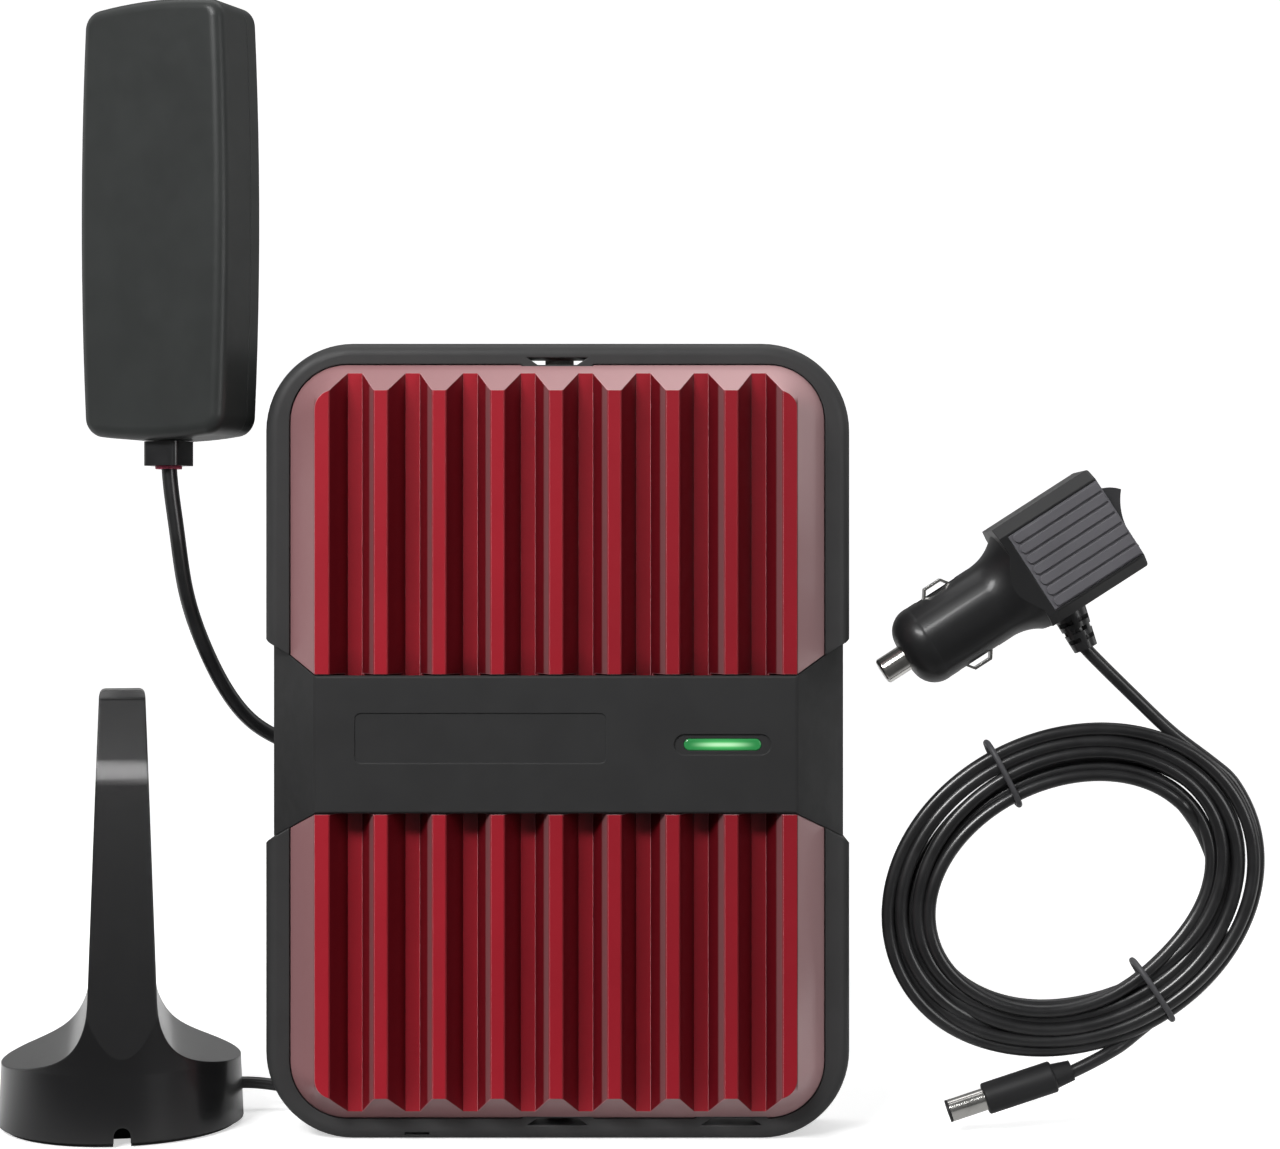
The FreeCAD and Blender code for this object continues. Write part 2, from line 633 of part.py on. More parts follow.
def inside_shells():
    split = 3.6
    shell = inside_body().cut(inside_body(2.0))
    shell = shell.cut(rod(2.0, (0, 0, -1), (0, 0, 1), 6))
    front = shell.common(box(-60, 60, -60, split, -5, 200))
    back = shell.common(box(-60, 60, split + 0.05, 60, -5, 200))
    rim = inside_body(2.0).cut(inside_body(3.2)).common(box(-60, 60, split - 1.5, split + 2.0, -5, 200))
    rim = rim.cut(front).cut(rod(2.2, (0, 0, -1), (0, 0, 1), 9))
    rim = rim.common(box(-60, 60, split + 0.05, 60, -5, 200))
    return front, back.fuse(rim).removeSplitter()


def inside_element():
    """The printed radiating panel, on its stand-offs behind the front shell."""
    panel = box(-17.5, 17.5, -2.4, -1.6, 7, 101)
    return panel.cut(box(-9, 9, -10, 10, 40, 44)).cut(box(-9, 9, -10, 10, 64, 68))


def inside_ground():
    """The reflector sheet behind the panel, with the solder block for the lead."""
    sheet = box(-17.5, 17.5, 1.6, 2.1, 7, 101)
    block = box(-4, 4, -1.55, 1.6, 7, 15).cut(rod(0.8, (0, 0, 0), (0, 0, 1), 60))
    return sheet.fuse(block).removeSplitter()


def inside_collar():
    collar = box(-5.0, 5.0, -4.25, 4.25, -6.2, -0.2)
    collar = collar.makeFillet(1.4, [e for e in collar.Edges if e.BoundBox.ZLength > 1])
    collar = collar.common(box(-9, 9, -9, 9, -6.2, 2))
    return collar.cut(rod(INSIDE_LEAD_R + BORE_PLAY, (0, 0, -9), (0, 0, 1), 20))


def inside_pad():
    return box(-16, 16, INSIDE_D / 2, INSIDE_D / 2 + 0.8, 16, 92)


def inside_lead():
    x, y = INSIDE_AT
    top = INSIDE_BOTTOM
    last = exit_point(True, 9.5)
    down = [
        (x, y, top - 0.2), (x + 0.1, y, top - 6), (x + 1.9, y + 0.3, top - 22),
        (x + 3.9, y + 3, top - 38), (x + 8.0, y + 8, top - 52.5), (x + 12.9, y + 13, top - 63.5),
        (x + 18.2, y + 17, top - 70.6), (x + 23.0, y + 20, top - 74.2),
    ]
    behind = [(-55, 26.5, 89.5), (-32, 27, 84), (-10, 27, 94), (2, 27, 122), (3, 27, 155), (1.0, 26.8, 176)]
    up = [(0.2, 26.2, last[2] - 4.0), (0, 24.0, last[2] - 0.6)]
    up += [exit_point(True, 12.0), last, exit_point(True, 6.0)]
    return swept([(x, y, top + 3.0)] + down + behind + up, INSIDE_LEAD_R)


# ---------------------------------------------------------------- outside antenna
def outside_place(shape):
    copy = shape.copy()
    copy.rotate(V(0, 0, 0), V(0, 0, 1), OUTSIDE_TURN)
    copy.translate(V(OUTSIDE_AT[0], OUTSIDE_AT[1], 0))
    return copy


def outside_front_profile():
    """Seen from the front: a slowly tapering mast that flares down to the rim of the base on both sides."""
    mast_top = 5.6
    mast_foot = 8.2
    top_z = OUTSIDE_H - 0.05
    foot_z = 36.0
    flare = [(mast_foot, foot_z), (9.1, 28.5), (12.4, 22.4), (18.0, 19.0), (24.0, 17.4),
             (OUTSIDE_R + 1, OUTSIDE_RIM - 0.2)]
    edges = []
    for side in (1, -1):
        curve = Part.BSplineCurve()
        lean = (mast_foot - mast_top) / (top_z - foot_z)
        curve.interpolate(
            Points=[V(side * x, -60, z) for x, z in flare],
            InitialTangent=V(side * lean, 0, -1),
            FinalTangent=V(side, 0, -0.18),
        )
        edges.append(curve.toShape())
        edges.append(line(V(side * mast_top, -60, top_z), V(side * mast_foot, -60, foot_z)))
        outer = side * (OUTSIDE_R + 1)
        edges.append(line(V(outer, -60, OUTSIDE_RIM - 0.2), V(outer, -60, -1)))
    edges.append(line(V(-mast_top, -60, top_z), V(mast_top, -60, top_z)))
    edges.append(line(V(-OUTSIDE_R - 1, -60, -1), V(OUTSIDE_R + 1, -60, -1)))
    block = Part.Face(Part.Wire(Part.__sortEdges__(edges))).extrude(V(0, 120, 0))
    corners = [e for e in block.Edges if e.BoundBox.YLength > 100 and abs(e.BoundBox.ZMin - top_z) < 0.01]
    return block.makeFillet(1.6, corners)


def outside_side_profile():
    """Seen from the side: the mast's front leans back a little, then bends back near the top."""
    points = [(-40, -1), (-40, 15), (-30.0, 17.0), (-20.8, 89.5), (-12.6, 107.0), (-10.0, 109.0),
              (2.0, 109.0), (4.5, 107.0), (30.0, 17.0), (40, 15), (40, -1)]
    wire = Part.makePolygon([V(-60, y, z) for y, z in points + points[:1]])
    block = Part.Face(wire).extrude(V(120, 0, 0))
    bends = [(-20.8, 89.5, 20.0), (-12.6, 107.0, 1.5), (4.5, 107.0, 1.5)]
    for y, z, radius in bends:
        edges = [e for e in block.Edges
                 if abs(e.CenterOfMass.y - y) < 0.1 and abs(e.CenterOfMass.z - z) < 0.1]
        block = block.makeFillet(radius, edges)
    return block


def outside_housing():
    drum = Part.makeCone(OUTSIDE_R, OUTSIDE_R - 0.7, OUTSIDE_RIM, V(0, 0, 1.0))
    drum = drum.fuse(rod(OUTSIDE_R - 0.7, (0, 0, OUTSIDE_RIM + 1.0), (0, 0, 1), OUTSIDE_H)).removeSplitter()
    body = drum.common(outside_front_profile()).common(outside_side_profile())
    body = body.cut(rod(27.6, (0, 0, 0), (0, 0, 1), 4.0))
    body = body.cut(rod(25.6, (0, 0, 0), (0, 0, 1), 13.0))
    blade_room = box(-1.5, 1.5, -14, 8, 5, 84)
    blade_room = blade_room.fuse(box(-1.5, 1.5, -11, 2, 80, 98))
    body = body.cut(blade_room)
    slot = box(-2.0, 2.0, -40, -20, 0, 2.7).fuse(rod(2.0, (0, -40, 2.7), (0, 1, 0), 20))
    body = body.cut(slot)
    body = body.cut(rod(OUTSIDE_LEAD_R + BORE_PLAY, (20, 8, 7.0), (1, 0, 0), 20))
    for x, y in outside_screw_spots():
        body = body.fuse(rod(3.0, (x, y, 4.2), (0, 0, 1), 10.0))
        body = body.cut(rod(1.25, (x, y, 3.0), (0, 0, 1), 8.0))
    return body.removeSplitter()


def outside_screw_spots():
    return [(22.5 * math.cos(math.radians(a)), 22.5 * math.sin(math.radians(a))) for a in (60, 180, 300)]


def outside_base_plate():
    disc = rod(27.4, (0, 0, 2.6), (0, 0, 1), 1.4)
    disc = disc.cut(box(-2.1, 2.1, -40, -20, 0, 9))
    for x, y in outside_screw_spots():
        disc = disc.cut(rod(1.3, (x, y, 0), (0, 0, 1), 9))
    return disc.removeSplitter()


def outside_screws():
    screws = []
    for x, y in outside_screw_spots():
        head = rod(2.2, (x, y, 1.3), (0, 0, 1), 1.3)
        screws.append(head.fuse(rod(1.2, (x, y, 2.6), (0, 0, 1), 7.0)).removeSplitter())
    return screws


def outside_magnet():
    return tube(17.0, 5.0, (0, 0, 4.0), (0, 0, 1), 5.0)


def outside_pad():
    pad = rod(28.6, (0, 0, 0), (0, 0, 1), 1.0).fuse(rod(27.3, (0, 0, 1.0), (0, 0, 1), 1.6))
    pad = pad.cut(box(-2.1, 2.1, -40, -20, -1, 9))
    for x, y in outside_screw_spots():
        pad = pad.cut(rod(2.3, (x, y, 0.6), (0, 0, 1), 9))
    return pad.removeSplitter()


def outside_blade():
    blade = box(-0.5, 0.5, -10, 6, 9.3, 80).fuse(box(-0.5, 0.5, -9, 0, 80, 96))
    return blade.removeSplitter()


def outside_lead():
    last = exit_point(False, 9.5)
    spin = FreeCAD.Rotation(V(0, 0, 1), OUTSIDE_TURN)
    base = V(OUTSIDE_AT[0], OUTSIDE_AT[1], 0)
    spots = ((18.5, 8, 7.0), (25, 8, 7.0), (31, 8, 7.0), (38, 7.7, 6.2), (46, 6.6, 4.9), (56, 5.0, 4.4))
    out = [spin.multVec(V(*p)) + base for p in spots]
    path = [tuple(p) for p in out]
    path += [(-38, 28.5, last[2]), (-16, 28.0, last[2]), (-5.0, 27.0, last[2]), (-0.9, 24.6, last[2]),
             exit_point(False, 12.0), last, exit_point(False, 6.0)]
    return swept(path, OUTSIDE_LEAD_R)


# ---------------------------------------------------------------- power supply
def supply_place(shape):
    copy = shape.copy()
    copy.rotate(V(0, 0, 0), V(0, 1, 0), SUPPLY_TILT)
    copy.translate(TIP_AT)
    return copy


def head_section(shrink, z0, z1):
    """The head's cross-section: a block with broad bevels along its four long edges."""
    w = HEAD_HALF_W - shrink
    d = HEAD_HALF_D - shrink
    bevel = 2.6
    corners = [(w, -d + bevel), (w, d - bevel), (w - bevel, d), (-w + bevel, d),
               (-w, d - bevel), (-w, -d + bevel), (-w + bevel, -d), (w - bevel, -d)]
    return prism_xy([(HEAD_MID_X + x, y) for x, y in corners], z0, z1)


def turned(points, middle):
    """Spin a profile of (radius, height) about Z; middle names the indices that are arc mid-points."""
    edges = []
    i = 0
    while i < len(points) - 1:
        a = V(points[i][0], 0, points[i][1])
        if i + 1 in middle:
            b = V(points[i + 1][0], 0, points[i + 1][1])
            c = V(points[i + 2][0], 0, points[i + 2][1])
            edges.append(Part.Arc(a, b, c).toShape())
            i += 2
        else:
            edges.append(line(a, V(points[i + 1][0], 0, points[i + 1][1])))
            i += 1
    edges.append(line(V(points[-1][0], 0, points[-1][1]), V(points[0][0], 0, points[0][1])))
    return Part.Face(Part.Wire(edges)).revolve(V(0, 0, 0), V(0, 0, 1), 360)


def supply_outer():
    barrel = turned([(0, NOSE), (4.8, NOSE), (8.4, 8.6), (BARREL_R, 13.6), (BARREL_R, BARREL_END),
                     (11.5, 37.6), (16.2, 42.4), (0, 42.4)], (2, 5))
    barrel = barrel.common(head_section(0, 0, 90))
    head = head_section(0, HEAD_START, HEAD_END)
    rim = [e for e in head.Edges if e.BoundBox.ZMin > HEAD_END - 0.01]
    return barrel.fuse(head.makeFillet(0.8, rim)).removeSplitter()


def supply_hollow():
    barrel = rod(BARREL_R - SHELL_WALL, (0, 0, 9.2), (0, 0, 1), 33)
    head = head_section(SHELL_WALL + 0.6, 42, HEAD_END - 1.8)
    return barrel.fuse(head)


SUPPLY_BOSSES = [(-11.0, 46.5), (8.0, 52.0)]


def supply_shells():
    shell = supply_outer().cut(supply_hollow())
    for x, s in SUPPLY_BOSSES:
        shell = shell.fuse(rod(2.6, (x, -9.5, s), (0, 1, 0), 19))
    shell = shell.cut(rod(3.4, (0, 0, 0), (0, 0, 1), 12))
    shell = shell.cut(box(-14, 14, -2.3, 2.3, 16.2, 27.8))
    shell = shell.cut(box(ROCKER_X - 10.2, ROCKER_X + 10.2, -6.9, 6.9, 57.4, 80))
    shell = shell.cut(rod(3.2, (5, 0, 47.0), (1, 0, 0), 20))
    for side in (-1, 1):
        ends = sorted((side * (HEAD_HALF_D - 0.8), side * 20))
        shell = shell.cut(box(HEAD_MID_X - 10.6, HEAD_MID_X + 10.6, ends[0], ends[1], 42.6, HEAD_END + 1))
    for x, s in SUPPLY_BOSSES:
        shell = shell.cut(rod(1.05, (x, -5, s), (0, 1, 0), 8))
        shell = shell.cut(rod(1.2, (x, 0, s), (0, 1, 0), 20))
        shell = shell.cut(rod(2.2, (x, 7.6, s), (0, 1, 0), 20))
    shell = shell.removeSplitter()
    front = shell.common(box(-50, 50, -50, 0, -10, 100))
    back = shell.common(box(-50, 50, 0, 50, -10, 100))
    return front, back


def grip_panel(side):
    """The ribbed panel: raised bars along the head with rounded ends towards the barrel."""
    inner = HEAD_HALF_D - 0.8
    base = box(HEAD_MID_X - 10.5, HEAD_MID_X + 10.5, inner, HEAD_HALF_D - 0.1, 42.7, HEAD_END - 0.1)
    panel = base
    for i in range(7):
        x = HEAD_MID_X + 3.0 * (i - 3)
        bar = box(x - 1.1, x + 1.1, HEAD_HALF_D - 0.8, HEAD_HALF_D + 0.5, 44.6, HEAD_END - 0.6)
        panel = panel.fuse(bar.fuse(rod(1.1, (x, HEAD_HALF_D - 0.8, 44.6), (0, 1, 0), 1.3)))
    panel = panel.removeSplitter()
    return panel if side > 0 else panel.mirror(V(0, 0, 0), V(0, 1, 0))


def switch_body():
    outer = box(ROCKER_X - 10.1, ROCKER_X + 10.1, -6.8, 6.8, 57.6, HEAD_END)
    cup = outer.cut(box(ROCKER_X - 9.4, ROCKER_X + 9.4, -5.75, 5.75, 58.6, 90))
    cup = cup.cut(rod(1.02, (ROCKER_X, -20, ROCKER_S), (0, 1, 0), 40))
    terminals = [box(ROCKER_X + x - 0.4, ROCKER_X + x + 0.4, -2.2, 2.2, 54.6, 57.6) for x in (-6, 0, 6)]
    return cup.fuse(terminals).removeSplitter()


def rocker():
    """A disc sector that stays inside one circle about its pin, with a dished top."""
    corner = math.radians(ROCKER_CORNER)
    top = ROCKER_R * math.cos(corner)
    dish_r = 16.0
    dish_z = top + math.sqrt(dish_r ** 2 - (ROCKER_R * math.sin(corner)) ** 2)
    disc = rod(ROCKER_R, (0, -5.5, 0), (0, 1, 0), 11.0).common(box(-20, 20, -20, 20, -3.5, top))
    disc = disc.cut(rod(dish_r, (0, -20, dish_z), (0, 1, 0), 40))
    disc = disc.cut(rod(1.06, (0, -20, 0), (0, 1, 0), 40))
    disc.rotate(V(0, 0, 0), V(0, 1, 0), ROCKER_TILT)
    disc.translate(V(ROCKER_X, 0, ROCKER_S))
    return disc


def rocker_pin():
    return rod(1.0, (ROCKER_X, -6.75, ROCKER_S), (0, 1, 0), 13.5)


def tip_contact():
    pin = rod(3.32, (0, 0, 0), (0, 0, 1), 9.4)
    pin = pin.makeFillet(0.8, [e for e in pin.Edges if e.BoundBox.ZMax < 0.01])
    return pin.fuse(rod(4.8, (0, 0, 9.3), (0, 0, 1), 1.4)).removeSplitter()


def tip_spring():
    helix = Part.makeHelix(2.2, 8.8, 3.0)
    start = V(3.0, 0, 0)
    ring = Part.Wire([Part.makeCircle(0.38, start, V(0, 1, 0.117))])
    coil = Part.Wire(helix.Edges).makePipeShell([ring], True, True)
    coil.translate(V(0, 0, 11.15))
    return coil


def fuse_link():
    """A glass tube fuse with its two end caps."""
    glass = tube(2.9, 2.3, (0, 0, 26.0), (0, 0, 1), 9.0)
    wire = rod(0.2, (0, 0, 25.0), (0, 0, 1), 11.0)
    caps = [tube(3.2, 2.92, (0, 0, s), (0, 0, 1), 5.2) for s in (21.0, 34.8)]
    ends = [rod(3.2, (0, 0, 20.4), (0, 0, 1), 0.7), rod(3.2, (0, 0, 39.9), (0, 0, 1), 0.7)]
    left = fused([caps[0], ends[0], rod(2.95, (0, 0, 21.0), (0, 0, 1), 4.0)])
    right = fused([caps[1], ends[1], rod(2.95, (0, 0, 36.0), (0, 0, 1), 4.0)])
    return [glass, left, right, wire]


def side_contact(side):
    """A strip of sprung metal bent to a flat-topped loop, standing out of the slot in the barrel."""
    outer = [(6.4, 14.9), (8.2, 17.0), (11.8, 19.6), (11.8, 24.4), (8.2, 27.0), (6.4, 29.1)]
    inner = [(5.9, 29.1), (7.7, 26.6), (11.2, 24.1), (11.2, 19.9), (7.7, 17.4), (5.9, 14.9)]
    wire = Part.makePolygon([V(side * x, -1.9, s) for x, s in outer + inner + outer[:1]])
    return Part.Face(wire).extrude(V(0, 3.8, 0))


def supply_board():
    board = box(-12.0, 9.2, -4.6, -3.4, 42.8, 55.8)
    for x, s in SUPPLY_BOSSES:
        board = board.cut(rod(2.7, (x, -20, s), (0, 1, 0), 40))
    parts = [box(-4, 4, -3.4, 1.2, 44, 48), rod(2.6, (-2, -3.4, 52), (0, 1, 0), 5.0)]
    return fused([board] + parts)


def supply_screws():
    return [screw(x, s, 7.6, -1, 2.0, 1.2, 1.0, 11.0) for x, s in SUPPLY_BOSSES]


RELIEF_START = V(11.0, 0, 47.0)
RELIEF_END = V(22.2, 0, 45.4)


def strain_relief():
    """A tapered sleeve with three rows of slots, so that it bends with the lead."""
    axis = RELIEF_END - RELIEF_START
    length = axis.Length
    root = rod(3.1, tuple(RELIEF_START + V(-2.6, 0, 0)), (1, 0, 0), 4.6)
    cone = Part.makeCone(4.5, 3.0, length, RELIEF_START, axis)
    cone = cone.cut(supply_outer())
    axis.normalize()
    turn = FreeCAD.Rotation(V(0, 0, 1), axis)
    for i in range(3):
        along = length * (0.34 + 0.21 * i)
        for half in range(2):
            slot = box(-6, 6, 1.0, 6, -0.55, 0.55).fuse(box(-6, 6, -6, -1.0, -0.55, 0.55))
            slot = slot.cut(rod(2.15, (0, 0, -3), (0, 0, 1), 6)).cut(box(-0.7, 0.7, -9, 9, -9, 9))
            slot.rotate(V(0, 0, 0), V(0, 0, 1), 90 * half + 90 * (i % 2) / 2)
            slot.Placement = FreeCAD.Placement(RELIEF_START + axis * along, turn).multiply(slot.Placement)
            cone = cone.cut(slot)
    sleeve = fused([cone, root])
    bore = swept(relief_path(), CORD_R + BORE_PLAY)
    return sleeve.cut(bore)


def relief_path():
    """The lead's middle line from inside the head to just past the sleeve, in the supply's own frame."""
    axis = RELIEF_END - RELIEF_START
    axis.normalize()
    root = V(7.0, 0, 47.0)
    places = (root, RELIEF_START, RELIEF_START + axis * 6.0, RELIEF_END, RELIEF_END + axis * 1.0)
    return [tuple(p) for p in places]


def coil_point(turns, depth=0.0, out=0.0):
    """A point of the coil: turns runs clockwise from the upper right, and each turn lies inside the last."""
    angle = math.radians(12.0 - 360.0 * turns)
    inset = COIL_PITCH * turns
    a = 47.4 - inset + out
    b = 38.6 - inset * 0.98 + out
    u = a * math.cos(angle)
    w = b * math.sin(angle)
    tilt = math.radians(COIL_TILT)
    x = COIL_AT[0] + u * math.cos(tilt) - w * math.sin(tilt)
    z = COIL_AT[1] + u * math.sin(tilt) + w * math.cos(tilt)
    return (x, depth, z)


def power_lead():
    """From the sleeve down to the coil, round it, out behind it, and to the free plug."""
    heads = [V(*p) for p in relief_path()]
    spin = FreeCAD.Rotation(V(0, 1, 0), SUPPLY_TILT)
    points = [tuple(spin.multVec(p) + TIP_AT) for p in heads[1:]]
    points += [(141.8, 0, 107.5), (151.0, 0, 98.8), (160.4, 0, 91.6)]
    per_turn = 20
    count = int(per_turn * (COIL_TURNS - 1)) + 1
    points += [coil_point(i / per_turn) for i in range(count)]
    last_turn = COIL_TURNS - 1
    for step, depth, out in ((0.05, 1.4, 0.6), (0.10, 3.1, 3.4), (0.15, 3.6, 8.0), (0.20, 3.5, 13.0)):
        points.append(coil_point(last_turn + step, depth, out))
    axis = V(*PLUG_AXIS)
    tail = V(*PLUG_TIP) - axis * (PLUG_LENGTH + 1.0)
    points += [(142.5, 2.0, 24.2), (135.0, 0.5, 19.4)]
    points += [tuple(tail - axis * 1.5), tuple(tail), tuple(tail + axis * 2), tuple(tail + axis * 5)]
    return swept(points, CORD_R)


PLUG_DIP = math.radians(18.4)
PLUG_AXIS = (-math.cos(PLUG_DIP), 0.0, -math.sin(PLUG_DIP))
PLUG_TIP = (95.9, 0.0, 5.4)
PLUG_BARREL = 9.6
PLUG_BODY = 17.9
PLUG_COLLAR = 4.6
PLUG_LENGTH = PLUG_BARREL + PLUG_BODY + PLUG_COLLAR


def plug_point(back):
    return V(*PLUG_TIP) - V(*PLUG_AXIS) * back


def dc_plug_body():
    axis = V(*PLUG_AXIS)
    grip = Part.makeCylinder(3.9, PLUG_BODY, plug_point(PLUG_BARREL + PLUG_BODY), axis)
    grip = grip.makeFillet(0.6, grip.Edges[:1] + grip.Edges[2:])
    collar = Part.makeCone(2.5, 3.1, PLUG_COLLAR, plug_point(PLUG_LENGTH), axis)
    body = grip.fuse(collar).removeSplitter()
    body = body.cut(Part.makeCylinder(CORD_R + BORE_PLAY, 8.0, plug_point(PLUG_LENGTH + 2), axis))
    return body.cut(Part.makeCylinder(PLUG_ROOT_R, 2.0, plug_point(PLUG_BARREL + 2.0), axis))


def dc_plug_barrel():
    axis = V(*PLUG_AXIS)
    barrel = Part.makeCylinder(PLUG_R, PLUG_BARREL - 0.6, plug_point(PLUG_BARREL), axis)
    root = Part.makeCylinder(PLUG_ROOT_R, 2.5, plug_point(PLUG_BARREL + 2.0), axis)
    barrel = barrel.fuse(root).removeSplitter()
    return barrel.cut(Part.makeCylinder(2.15, 30, plug_point(PLUG_BARREL - 0.6), axis))


def dc_plug_insulator():
    axis = V(*PLUG_AXIS)
    tip_ring = Part.makeCylinder(PLUG_R, 0.6, plug_point(0.6), axis)
    lining = Part.makeCylinder(2.1, PLUG_BARREL - 0.6, plug_point(PLUG_BARREL - 0.6), axis)
    hole = Part.makeCylinder(1.1, 40, plug_point(PLUG_BARREL - 1.5), axis)
    return tip_ring.fuse(lining).cut(hole).removeSplitter()


def lead_tie(centre, outwards, half_w, front, back):
    """A loop of cord drawn round the coil's strands."""
    cord = 0.85
    middle = (front + back) / 2
    wire = rounded_wire(half_w, (back - front) / 2, (back - front) / 2 - 0.01, 0, 0, 0)
    ring = Part.Wire([Part.makeCircle(cord, V(half_w, 0, 0), V(0, 0, 1))])
    loop = wire.makePipeShell([ring], True, False)
    loop.rotate(V(0, 0, 0), V(1, 0, 0), 90)
    loop.translate(V(0, middle, 0))
    angle = math.degrees(math.atan2(outwards[1], outwards[0]))
    loop.rotate(V(0, 0, 0), V(0, 1, 0), -angle)
    loop.translate(V(centre[0], 0, centre[1]))
    return loop


# ---------------------------------------------------------------- the kit
def build_booster():
    keep("heat_sink", heat_sink())
    keep("bumper_frame", bumper_frame())
    keep("centre_band", centre_band())
    keep("light_pipe", light_pipe())
    keep("status_board", status_board())
    keep("status_ribbon", status_ribbon())
    keep("main_board", main_board())
    keep("shield_cans", *shield_cans())
    keep("power_amplifiers", *amplifiers())
    keep("thermal_pads", *thermal_pads())
    keep("filter_blocks", *filter_blocks())
    keep("back_cover", back_cover())
    keep("cover_gasket", cover_gasket())
    keep("rubber_feet", *rubber_feet())
    cover_screws = [screw(x, z, COVER_Y + 0.9, -1, 2.8, 1.6, M3, 10.0) for x, z in SCREW_SPOTS]
    keep("cover_screws", *cover_screws)
    keep("board_screws", *[screw(x, z, BOARD_Y + BOARD_T, -1, 2.4, 1.5, 1.25, 7.5) for x, z in BOARD_SPOTS])
    keep("band_screws", *[screw(x, z, -6.0, -1, 2.6, 1.6, 1.25, 10.0) for x, z in BAND_SPOTS])
    keep("inside_port_jack", *antenna_jack(True))
    keep("outside_port_jack", *antenna_jack(False))
    keep("power_port_jack", power_jack())


def build_inside_antenna():
    front, back = inside_shells()
    keep("inside_front_shell", inside_place(front))
    keep("inside_back_shell", inside_place(back))
    keep("inside_element_board", inside_place(inside_element()))
    keep("inside_ground_plane", inside_place(inside_ground()))
    keep("inside_lead_collar", inside_place(inside_collar()))
    ring = tube(3.3, INSIDE_LEAD_R + BORE_PLAY, (0, 0, -7.0), (0, 0, 1), 0.8)
    keep("inside_lead_ring", inside_place(ring))
    keep("inside_adhesive_pad", inside_place(inside_pad()))
    keep("inside_lead", inside_lead())
    keep("inside_plug_body", plug_body(True, INSIDE_LEAD_R))
    keep("inside_plug_nut", plug_nut(True))


def build_outside_antenna():
    keep("outside_housing", outside_place(outside_housing()))
    keep("outside_base_plate", outside_place(outside_base_plate()))
    keep("outside_base_screws", *[outside_place(s) for s in outside_screws()])
    keep("outside_magnet", outside_place(outside_magnet()))
    keep("outside_rubber_pad", outside_place(outside_pad()))
    keep("outside_antenna_blade", outside_place(outside_blade()))
    keep("outside_lead", outside_lead())
    keep("outside_plug_body", plug_body(False, OUTSIDE_LEAD_R))
    keep("outside_plug_nut", plug_nut(False))


def build_power_supply():
    front, back = supply_shells()
    keep("supply_front_shell", supply_place(front))
    keep("supply_back_shell", supply_place(back))
    keep("grip_panels", supply_place(grip_panel(-1)), supply_place(grip_panel(1)))
    keep("switch_body", supply_place(switch_body()))
    keep("rocker", supply_place(rocker()))
    keep("rocker_pin", supply_place(rocker_pin()))
    keep("tip_contact", supply_place(tip_contact()))
    keep("tip_spring", supply_place(tip_spring()))
    keep("fuse", *[supply_place(s) for s in fuse_link()])
    keep("side_contact_upper", supply_place(side_contact(-1)))
    keep("side_contact_lower", supply_place(side_contact(1)))
    keep("supply_board", supply_place(supply_board()))
    keep("supply_screws", *[supply_place(s) for s in supply_screws()])
    keep("strain_relief", supply_place(strain_relief()))
    keep("power_lead", power_lead())
    keep("dc_plug_body", dc_plug_body())
    keep("dc_plug_barrel", dc_plug_barrel())
    keep("dc_plug_insulator", dc_plug_insulator())
    upper = lead_tie((109.4, 88.6), (-0.46, 0.89), 10.6, -2.9, 2.9)
    lower = lead_tie((146.2, 35.4), (0.55, -0.83), 10.8, -2.9, 6.2)
    keep("lead_ties", upper, lower)


build_booster()
build_inside_antenna()
build_outside_antenna()
build_power_supply()
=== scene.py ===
import json
import math

import bpy
import numpy as np
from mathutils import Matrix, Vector


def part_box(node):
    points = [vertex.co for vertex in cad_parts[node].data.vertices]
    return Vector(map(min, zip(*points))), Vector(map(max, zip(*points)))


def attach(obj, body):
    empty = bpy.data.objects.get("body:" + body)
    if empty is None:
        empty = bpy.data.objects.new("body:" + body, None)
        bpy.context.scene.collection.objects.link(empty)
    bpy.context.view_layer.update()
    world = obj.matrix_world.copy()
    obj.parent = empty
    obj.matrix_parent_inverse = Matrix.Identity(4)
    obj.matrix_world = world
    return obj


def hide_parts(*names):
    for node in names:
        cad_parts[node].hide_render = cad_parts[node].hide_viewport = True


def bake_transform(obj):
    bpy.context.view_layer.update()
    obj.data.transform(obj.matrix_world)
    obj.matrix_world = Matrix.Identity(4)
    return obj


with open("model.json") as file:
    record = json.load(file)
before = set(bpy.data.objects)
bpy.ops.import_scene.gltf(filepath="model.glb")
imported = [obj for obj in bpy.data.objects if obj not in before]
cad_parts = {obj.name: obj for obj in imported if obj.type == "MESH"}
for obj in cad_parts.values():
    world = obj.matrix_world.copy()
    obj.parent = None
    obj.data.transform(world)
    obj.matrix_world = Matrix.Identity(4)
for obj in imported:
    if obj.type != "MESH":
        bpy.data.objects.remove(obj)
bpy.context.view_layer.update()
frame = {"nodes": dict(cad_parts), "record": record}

# The looks of a vehicle signal booster kit.  Everything is in metres, in the CAD model's own frame:
# +Z up, the booster's fins facing -Y, its bottom edge on z = 0.

NODES = frame["nodes"]
MM = 0.001

# Studio.  Powers are in watts, and the others are plain strengths.
WORLD_FRONT = 0.12
WORLD_BACK = 0.95            # the room behind it
PAPER_GLOW = (0.55, 0.8)
KEY_POWER = 19.0
FILL_POWER = 3.4
KNEE_POWER = 4.2
TOP_POWER = 5.0


# ---------------------------------------------------------------- shader helpers
def set_range(map_range, low, high, out_low, out_high):
    """Make a Map Range node take low..high to out_low..out_high."""
    numbers = {"From Min": low, "From Max": high, "To Min": out_low, "To Max": out_high}
    for name, number in numbers.items():
        map_range.inputs[name].default_value = number


